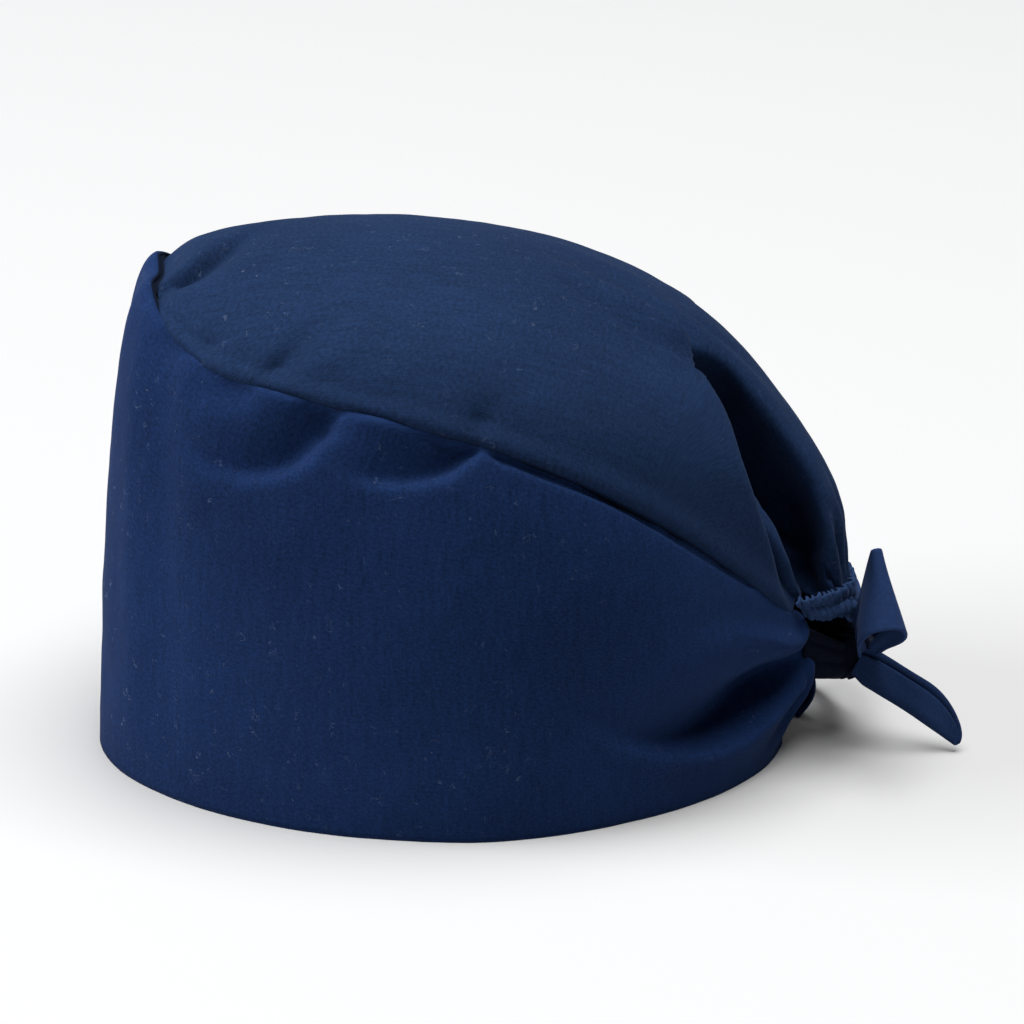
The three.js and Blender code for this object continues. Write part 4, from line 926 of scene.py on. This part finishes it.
def root_place(side, wide, share):
    """A point of a tie root: share runs from the band (0) to the knot (1)."""
    edge = band_end(side, ROOT_UP)
    edge_up = unit(band_end(side, ROOT_UP + 0.15) - band_end(side, ROOT_UP - 0.15))
    heading = unit(edge - band_end(side, ROOT_UP, 0.02))
    outward = band_outward(np.array([side * float(LAST_BAND_ROW)]), np.array([ROOT_UP]))[0]
    at_band = edge - outward * CLOTH_WALL / 2 + heading * ROOT_GAP
    at_knot = KNOT_CENTRE + np.array([side * (KNOT_HALF_WIDTH - 1), -ROOT_FORWARD, 0])
    between = (at_band + at_knot) / 2 + heading * ROOT_SAG
    rest = 1 - share
    middle = np.outer(rest**2, at_band) + np.outer(2 * share * rest, between) + np.outer(share**2, at_knot)
    run = unit(np.outer(rest, between - at_band) + np.outer(share, at_knot - between))
    upwards = unit(np.outer(rest, edge_up) + np.outer(share, (0, 0, 1)))
    flat = along(unit(np.cross(run, upwards)), side * np.ones_like(share))
    half = ROOT_HALF_AT_BAND + (ROOT_HALF_AT_KNOT - ROOT_HALF_AT_BAND) * share
    half = half + ROOT_TALLER * (wide > 0) * (1 - share) ** 2
    pleat = 0.9 * np.sin(wide * 8 + 0.5) * (0.35 + 0.65 * share)
    return middle + along(upwards, wide * half) + along(flat, pleat)


for side, name in ((1, "left"), (-1, "right")):
    piece = make_strap(f"tie_root_{name}_piece", f"tie_root_{name}", 24, 30,
                       lambda w, s: root_place(side, w, s), ROOT_WALL, ROOT_HALF_AT_BAND, 15)

# %% [markdown]
# ### Knot
# The knot is a tight bundle of pleated cloth with one turn of the strap laid round its middle. The bundle
# starts as a sphere and the turn as a flat grid; both are moved into shape and joined. A strap that was
# really knotted would cross itself out of sight many times, so only what shows is made.

# %% The knot's bundle
BUNDLE_BIGGER = np.array([0.6, 1.6, -0.2])  # than the knot's named half sizes, in mm
BUNDLE_BACK = 1.6


def knot_bundle():
    """A ball squared off a little, pleated from end to end and drawn in at its waist."""
    bpy.ops.object.select_all(action="DESELECT")
    bpy.ops.mesh.primitive_uv_sphere_add(segments=56, ring_count=28, radius=1, location=(0, 0, 0))
    bundle = bpy.context.object
    bundle.name = bundle.data.name = "tie_knot_piece"
    ball = points_of(bundle)
    turn = np.arctan2(ball[:, 2], ball[:, 1])
    pleat = 1 + 0.09 * np.sin(7 * turn + 2 * ball[:, 0]) + 0.04 * np.sin(13 * turn)
    waist = 1 - 0.14 * np.exp(-((ball[:, 0] * 2.4) ** 2))
    half = np.array([KNOT_HALF_WIDTH, KNOT_HALF_DEPTH, KNOT_HALF_HEIGHT]) + BUNDLE_BIGGER
    shape = signed_power(ball, 0.85) * half
    shape[:, 1:] *= (pleat * waist)[:, None]
    form(bundle, shape + KNOT_CENTRE + np.array([0, BUNDLE_BACK, 0]))
    bundle.data.uv_layers[0].name = "UVMap"
    bundle.data.uv_layers.new(name="edge")
    bundle.data.uv_layers.active_index = 0
    bpy.ops.object.shade_smooth()
    return bundle


# %% The turn of strap round the bundle
WRAP_HALF_WIDTH = 5.2
WRAP_LENGTH = 52
WRAP_WALL = 1.2
WRAP_TURNS = 1.06
WRAP_START = 2.6  # radians from the top


def wrap_place(wide, share):
    """One turn of the strap round the bundle, crossing itself a little at an angle."""
    angle = 2 * np.pi * WRAP_TURNS * share + WRAP_START
    lift = 0.9 * share
    curl = 0.7 * wide**2
    ridge = 0.35 * np.sin(wide * 9 + 0.8)
    y = (KNOT_HALF_DEPTH + lift - 0.6 - curl + ridge) * np.sin(angle)
    z = (KNOT_HALF_HEIGHT + lift - 0.8 - curl + ridge) * np.cos(angle)
    x = wide * WRAP_HALF_WIDTH + 1.1 * np.cos(angle) + 1.3 * (share - 0.5)
    return np.stack([x, y, z], -1) + KNOT_CENTRE


# %% Make the knot
knot = knot_bundle()
wrap = flat_grid("tie_knot_wrap", 18, 90)
across, lengthways = grid_places(wrap)
wide = across * 2 - 1
form(wrap, wrap_place(wide, lengthways))
lay_threads(wrap, across, lengthways)
lay_edge_threads(wrap, (1 - np.abs(wide)) * WRAP_HALF_WIDTH, lengthways * WRAP_LENGTH)
finish_cloth(wrap, WRAP_WALL)
choose(knot)
wrap.select_set(True)
bpy.ops.object.join()
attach(knot, "root")
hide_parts("tie_knot")
print("knot faces:", len(knot.data.polygons))

# %% [markdown]

# %% [markdown]
# ## Finishes
# All of the cap is one cloth: a plain-woven cotton and polyester blend, dyed navy. It is matt, with a faint
# fuzz that greys it where light grazes it, fine threads both ways, slightly thicker threads here and there,
# and a few pale lint fibres that cling to it. Patterns worked out from the size of a thread are used, and not
# a picture of cloth, because they stay sharp close up and follow the cloth wherever it turns.

# %% Colours and one helper for nodes
def linear(hex_colour):
    """An sRGB hex value as the linear colour that a shader reads."""
    channels = [int(hex_colour[place:place + 2], 16) / 255 for place in (1, 3, 5)]
    bent = [c / 12.92 if c <= 0.04045 else ((c + 0.055) / 1.055) ** 2.4 for c in channels]
    return (*bent, 1.0)


def add_node(tree, kind, sockets=None, **settings):
    """Adds one node; a socket is given a value, or another node's output to link."""
    node = tree.nodes.new(kind)
    for name, value in settings.items():
        setattr(node, name, value)
    for name, value in (sockets or {}).items():
        if isinstance(value, bpy.types.NodeSocket):
            tree.links.new(value, node.inputs[name])
        else:
            node.inputs[name].default_value = value
    return node


# %% The weave: threads both ways, and slubs
THREAD_MM = 0.85  # real threads lie about 0.25 mm apart, too fine to show, so they are drawn this coarse
SLUB_SCALE = 480  # cells about 2 mm wide across a thread
SLUB_STRETCH = 0.14  # and about 15 mm long along it
WAVE_PERIOD = 2 * math.pi / 20  # length of one band of the wave texture at a scale of 1


def weave(tree, cloth):
    """The height of the threads, and the slubs, which are thicker places along a thread."""
    wave = {"Vector": cloth, "Scale": WAVE_PERIOD / (THREAD_MM * MM), "Distortion": 0.6, "Detail": 1.0,
            "Detail Scale": 0.4}
    warp = add_node(tree, "ShaderNodeTexWave", wave, bands_direction="X").outputs["Fac"]
    weft = add_node(tree, "ShaderNodeTexWave", wave, bands_direction="Y").outputs["Fac"]
    threads = add_node(tree, "ShaderNodeMath", {0: warp, 1: weft}, operation="MULTIPLY")
    stretched = add_node(tree, "ShaderNodeMapping", {"Vector": cloth, "Scale": (1.0, SLUB_STRETCH, 1.0)})
    slubs = add_node(tree, "ShaderNodeTexNoise", {"Vector": stretched.outputs[0], "Scale": SLUB_SCALE,
                     "Detail": 3.0, "Roughness": 0.7})
    return threads.outputs[0], slubs.outputs["Fac"]


# %% The dye, which takes a little unevenly
GRAIN_MM = 1.1
GRAIN_WEIGHT = 1.6
THREAD_WEIGHT = 0.15
PATCH_MM = 70
DARKEST = 1.19  # where the sum of the patterns gives the darkest tone
LIGHTEST = 2.49


def dyed_tone(tree, cloth, solid, threads, slubs, grain):
    """Lightness that varies with the yarn's grain, the slubs, the threads and wide faint patches."""
    grains = add_node(tree, "ShaderNodeTexNoise", {"Vector": cloth, "Scale": 1000 / GRAIN_MM, "Detail": 1.0,
                      "Roughness": 0.6}).outputs["Fac"]
    patches = add_node(tree, "ShaderNodeTexNoise", {"Vector": solid, "Scale": 1000 / PATCH_MM,
                       "Detail": 2.0}).outputs["Fac"]
    mixed = add_node(tree, "ShaderNodeMath", {0: grains, 1: GRAIN_WEIGHT, 2: slubs},
                     operation="MULTIPLY_ADD").outputs[0]
    mixed = add_node(tree, "ShaderNodeMath", {0: mixed, 1: patches}, operation="ADD").outputs[0]
    mixed = add_node(tree, "ShaderNodeMath", {0: threads, 1: THREAD_WEIGHT, 2: mixed},
                     operation="MULTIPLY_ADD").outputs[0]
    return add_node(tree, "ShaderNodeMapRange", {"Value": mixed, "From Min": DARKEST, "From Max": LIGHTEST,
                    "To Min": 1 - grain, "To Max": 1 + grain}).outputs[0]


# %% Lint
LINT_MM = 4.5
LINT_HALF_WIDTH = 0.008  # as a share of the noise's range
LINT_BREAK_MM = 3.4
LINT_DRIFT_MM = 45
LINT_COLOUR = "#8c98b4"
LINT_AT_FOREHEAD = 0.32
LINT_ELSEWHERE = 0.1


def lint_share(tree, solid):
    """Pale fibres that cling to the cloth: thin curved lines, broken up, more of them here than there."""
    fibre = add_node(tree, "ShaderNodeTexNoise", {"Vector": solid, "Scale": 1000 / LINT_MM,
                     "Detail": 2.0, "Roughness": 0.6, "Distortion": 0.8}).outputs["Fac"]
    fibre = add_node(tree, "ShaderNodeMath", {0: fibre, 1: 0.5}, operation="SUBTRACT").outputs[0]
    fibre = add_node(tree, "ShaderNodeMath", {0: fibre}, operation="ABSOLUTE").outputs[0]
    fibre = add_node(tree, "ShaderNodeMath", {0: fibre, 1: LINT_HALF_WIDTH}, operation="LESS_THAN").outputs[0]
    broken = add_node(tree, "ShaderNodeTexNoise", {"Vector": solid, "Scale": 1000 / LINT_BREAK_MM,
                      "Detail": 0.0}).outputs["Fac"]
    broken = add_node(tree, "ShaderNodeMath", {0: broken, 1: 0.68}, operation="GREATER_THAN").outputs[0]
    drift = add_node(tree, "ShaderNodeTexNoise", {"Vector": solid, "Scale": 1000 / LINT_DRIFT_MM,
                     "Detail": 1.0}).outputs["Fac"]
    drift = add_node(tree, "ShaderNodeMapRange", {"Value": drift, "From Min": 0.42, "From Max": 0.62,
                     "To Min": 0.15, "To Max": 1.0}).outputs[0]
    broken = add_node(tree, "ShaderNodeMath", {0: broken, 1: drift}, operation="MULTIPLY").outputs[0]
    lint = add_node(tree, "ShaderNodeMath", {0: fibre, 1: broken}, operation="MULTIPLY").outputs[0]
    lengthways = add_node(tree, "ShaderNodeSeparateXYZ", {"Vector": solid}).outputs["Y"]
    strength = add_node(tree, "ShaderNodeMapRange", {"Value": lengthways, "From Min": -0.108,
                        "From Max": -0.04, "To Min": LINT_AT_FOREHEAD, "To Max": LINT_ELSEWHERE}).outputs[0]
    return add_node(tree, "ShaderNodeMath", {0: lint, 1: strength}, operation="MULTIPLY").outputs[0]


# %% The painted shade along the seam, and the stitches with painted shade in their pressed line, both along the cloth's edge
SEAM_SHADE_MM = 1.8
SEAM_SHADE_COLOUR = "#050a16"
STITCH_HALF_WIDTH = 0.2
STITCH_SPACING = 2.6
STITCH_GAP = 0.8
STITCH_COLOUR = "#25375c"
STITCH_GROOVE_SHADE_COLOUR = "#0d1730"


def seam_shaded(tree, edge, coloured):
    """Darkens the cloth that is turned down into the seam, where hardly any light gets in."""
    from_seam = add_node(tree, "ShaderNodeSeparateXYZ", {"Vector": edge}).outputs["X"]
    crease = add_node(tree, "ShaderNodeMapRange", {"Value": from_seam, "From Min": SEAM_SHADE_MM * MM,
                      "From Max": 1.5 * SEAM_SHADE_MM * MM, "To Min": 0.9, "To Max": 0.0}).outputs[0]
    return add_node(tree, "ShaderNodeMix", {"Factor": crease, "A": coloured, "B": linear(SEAM_SHADE_COLOUR)},
                    data_type="RGBA").outputs["Result"]


def stitch_lines(tree, edge):
    """The line of stitches that is pressed into the cloth, and the share of it that is thread."""
    places = add_node(tree, "ShaderNodeSeparateXYZ", {"Vector": edge}).outputs
    off = add_node(tree, "ShaderNodeMath", {0: places["X"], 1: STITCH_INSET * MM},
                   operation="SUBTRACT").outputs[0]
    off = add_node(tree, "ShaderNodeMath", {0: off}, operation="ABSOLUTE").outputs[0]
    line = add_node(tree, "ShaderNodeMath", {0: off, 1: STITCH_HALF_WIDTH * MM},
                    operation="LESS_THAN").outputs[0]
    beat = add_node(tree, "ShaderNodeMath", {0: places["Y"], 1: STITCH_SPACING * MM},
                    operation="PINGPONG").outputs[0]
    beat = add_node(tree, "ShaderNodeMath", {0: beat, 1: STITCH_GAP * MM},
                    operation="GREATER_THAN").outputs[0]
    stitch = add_node(tree, "ShaderNodeMath", {0: line, 1: beat}, operation="MULTIPLY").outputs[0]
    return line, stitch


# %% The woven cloth
SLUB_HEIGHT = 0.6  # beside a thread's height of 1
STITCH_DEPTH = 1.5
THREAD_RELIEF_MM = 0.12


def woven_cloth(name, hex_colour, grain=0.2, stitched=False, painted_seam_shade=False):
    """Matt plain-woven poly-cotton: threads, slubs, faint patches, lint, and, where asked, its stitches and a
    painted shade along its seam.
    """
    material = bpy.data.materials.new(name)
    material.use_nodes = True
    tree = material.node_tree
    tree.nodes.clear()
    cloth = add_node(tree, "ShaderNodeUVMap", uv_map="UVMap").outputs["UV"]
    solid = add_node(tree, "ShaderNodeTexCoord").outputs["Object"]
    threads, slubs = weave(tree, cloth)
    tone = dyed_tone(tree, cloth, solid, threads, slubs, grain)
    coloured = add_node(tree, "ShaderNodeMix", {"Factor": 1.0, "A": linear(hex_colour), "B": tone},
                        data_type="RGBA", blend_type="MULTIPLY").outputs["Result"]
    coloured = add_node(tree, "ShaderNodeMix", {"Factor": lint_share(tree, solid), "A": coloured,
                        "B": linear(LINT_COLOUR)}, data_type="RGBA").outputs["Result"]
    height = add_node(tree, "ShaderNodeMath", {0: slubs, 1: SLUB_HEIGHT, 2: threads},
                      operation="MULTIPLY_ADD").outputs[0]
    if painted_seam_shade or stitched:
        edge = add_node(tree, "ShaderNodeUVMap", uv_map="edge").outputs["UV"]
    if painted_seam_shade:
        # painted shade: the cloth is darkened along the seam, for the shade in the seam's groove
        coloured = seam_shaded(tree, edge, coloured)
    if stitched:
        line, stitch = stitch_lines(tree, edge)
        # painted shade: the pressed stitch line between the stitches is darkened, for the shade in its groove
        stitch_groove_shade = add_node(tree, "ShaderNodeMath", {0: line, 1: stitch}, operation="SUBTRACT").outputs[0]
        coloured = add_node(tree, "ShaderNodeMix", {"Factor": stitch, "A": coloured,
                            "B": linear(STITCH_COLOUR)}, data_type="RGBA").outputs["Result"]
        coloured = add_node(tree, "ShaderNodeMix", {"Factor": stitch_groove_shade, "A": coloured,
                            "B": linear(STITCH_GROOVE_SHADE_COLOUR)}, data_type="RGBA").outputs["Result"]
        height = add_node(tree, "ShaderNodeMath", {0: line, 1: -STITCH_DEPTH, 2: height},
                          operation="MULTIPLY_ADD").outputs[0]
    bump = add_node(tree, "ShaderNodeBump", {"Height": height, "Strength": 0.22,
                    "Distance": THREAD_RELIEF_MM * MM})
    shader = add_node(tree, "ShaderNodeBsdfPrincipled", {"Base Color": coloured, "Normal": bump.outputs[0],
                      "Roughness": 0.86, "Specular IOR Level": 0.04, "Sheen Weight": 0.05,
                      "Sheen Roughness": 0.45, "Sheen Tint": linear("#8c9cc0")})
    add_node(tree, "ShaderNodeOutputMaterial", {"Surface": shader.outputs[0]})
    return material


# %% One finish for each way the cloth is used
# the gathered casing is a paler navy, painted light for the light its gathers catch, and the knot and the tie
# roots a nearly black navy, painted shade for the crown's shadow that they lie in
finishes = {
    "band_cloth": woven_cloth("navy_poly_cotton_band", "#122446", grain=0.42, painted_seam_shade=True),
    "crown_cloth": woven_cloth("navy_poly_cotton_crown", "#14243f", grain=0.42, painted_seam_shade=True),
    # painted light: the casing's navy is paler than the flat cloth's, for the light its gathers catch
    "casing_cloth": woven_cloth("navy_poly_cotton_gathered", "#223454", grain=0.45),
    "tie_cloth": woven_cloth("navy_poly_cotton_tie", "#1f3155"),
    "tail_cloth": woven_cloth("navy_poly_cotton_stitched", "#1c2d4e", stitched=True),
    "knot_and_root_painted_shade": woven_cloth("navy_poly_cotton_knotted", "#080d1a"),
}


def dress(piece, finish):
    """Gives a piece one finish all over."""
    piece.data.materials.clear()
    piece.data.materials.append(finishes[finish])


dress(side_band, "band_cloth")
dress(crown, "crown_cloth")
dress(casing, "casing_cloth")
for piece in bpy.data.objects:
    if piece.name.startswith("bow_loop_") and piece.name.endswith("_piece"):
        dress(piece, "tie_cloth")
    if piece.name.startswith("tie_tail_") and piece.name.endswith("_piece"):
        dress(piece, "tail_cloth")
    # the knot and the tie roots are given the nearly black painted shade
    if piece.name.startswith(("tie_knot_", "tie_root_")) and piece.name.endswith("_piece"):
        dress(piece, "knot_and_root_painted_shade")
print("finishes:", ", ".join(material.name for material in finishes.values()))

# %% [markdown]
# ## The floor, the light and the camera
# The cap stands on a plain pale floor in soft studio light from above and in front. Two large lamps give the
# soft shade of the folds, and a faint sky keeps the hollows from going quite black.
# The camera looks at its left side from a little above, with a long lens.

# %% Floor
bpy.ops.object.select_all(action="DESELECT")
bpy.ops.mesh.primitive_plane_add(size=24, location=(0, 0, 0))
floor = bpy.context.object
floor.name = floor.data.name = "floor"
paper = bpy.data.materials.new("pale_studio_paper")
paper.use_nodes = True
paper.node_tree.nodes.clear()
paper_shader = add_node(paper.node_tree, "ShaderNodeBsdfPrincipled", {"Base Color": linear("#b6b6b6"),
                        "Roughness": 0.95, "Specular IOR Level": 0.1})
add_node(paper.node_tree, "ShaderNodeOutputMaterial", {"Surface": paper_shader.outputs[0]})
floor.data.materials.append(paper)

# %% Lights
def soft_light(name, place, aim, size, power, colour):
    """A square lamp at a place, turned to face a point."""
    bpy.ops.object.select_all(action="DESELECT")
    bpy.ops.object.light_add(type="AREA", location=place)
    lamp = bpy.context.object
    lamp.name = lamp.data.name = name
    lamp.data.size = size
    lamp.data.energy = power
    lamp.data.color = linear(colour)[:3]
    lamp.rotation_mode = "QUATERNION"
    lamp.rotation_quaternion = (Vector(aim) - Vector(place)).to_track_quat("-Z", "Y")
    return lamp


CAP_MIDDLE = (0, 0.01, 0.08)
soft_light("overhead_softbox", (0.2, 0.3, 4), CAP_MIDDLE, size=3.2, power=310, colour="#ffffff")
soft_light("front_softbox", (0.3, -3.6, 1.8), CAP_MIDDLE, size=2.4, power=175, colour="#f8faff")
world = bpy.data.worlds.new("pale_room")
bpy.context.scene.world = world
world.use_nodes = True
world.node_tree.nodes.clear()
sky = add_node(world.node_tree, "ShaderNodeBackground", {"Color": linear("#ffffff"), "Strength": 0.1})
add_node(world.node_tree, "ShaderNodeOutputWorld", {"Surface": sky.outputs[0]})

# %% Camera
CAMERA_ELEVATION = 21
CAMERA_DISTANCE = 1.4
CAMERA_LENS = 161
CAMERA_TARGET = Vector((0, 0.0206, 0.073))
tilt = math.radians(CAMERA_ELEVATION)
backwards = Vector((math.cos(tilt), 0, math.sin(tilt)))
bpy.ops.object.camera_add(location=CAMERA_TARGET + backwards * CAMERA_DISTANCE)
camera = bpy.context.object
camera.name = camera.data.name = "studio_camera"
camera.rotation_mode = "QUATERNION"
camera.rotation_quaternion = (-backwards).to_track_quat("-Z", "Y")
camera.data.sensor_width = 36
camera.data.lens = CAMERA_LENS
camera.data.dof.use_dof = False
bpy.context.scene.camera = camera
bpy.context.scene.view_settings.view_transform = "Standard"
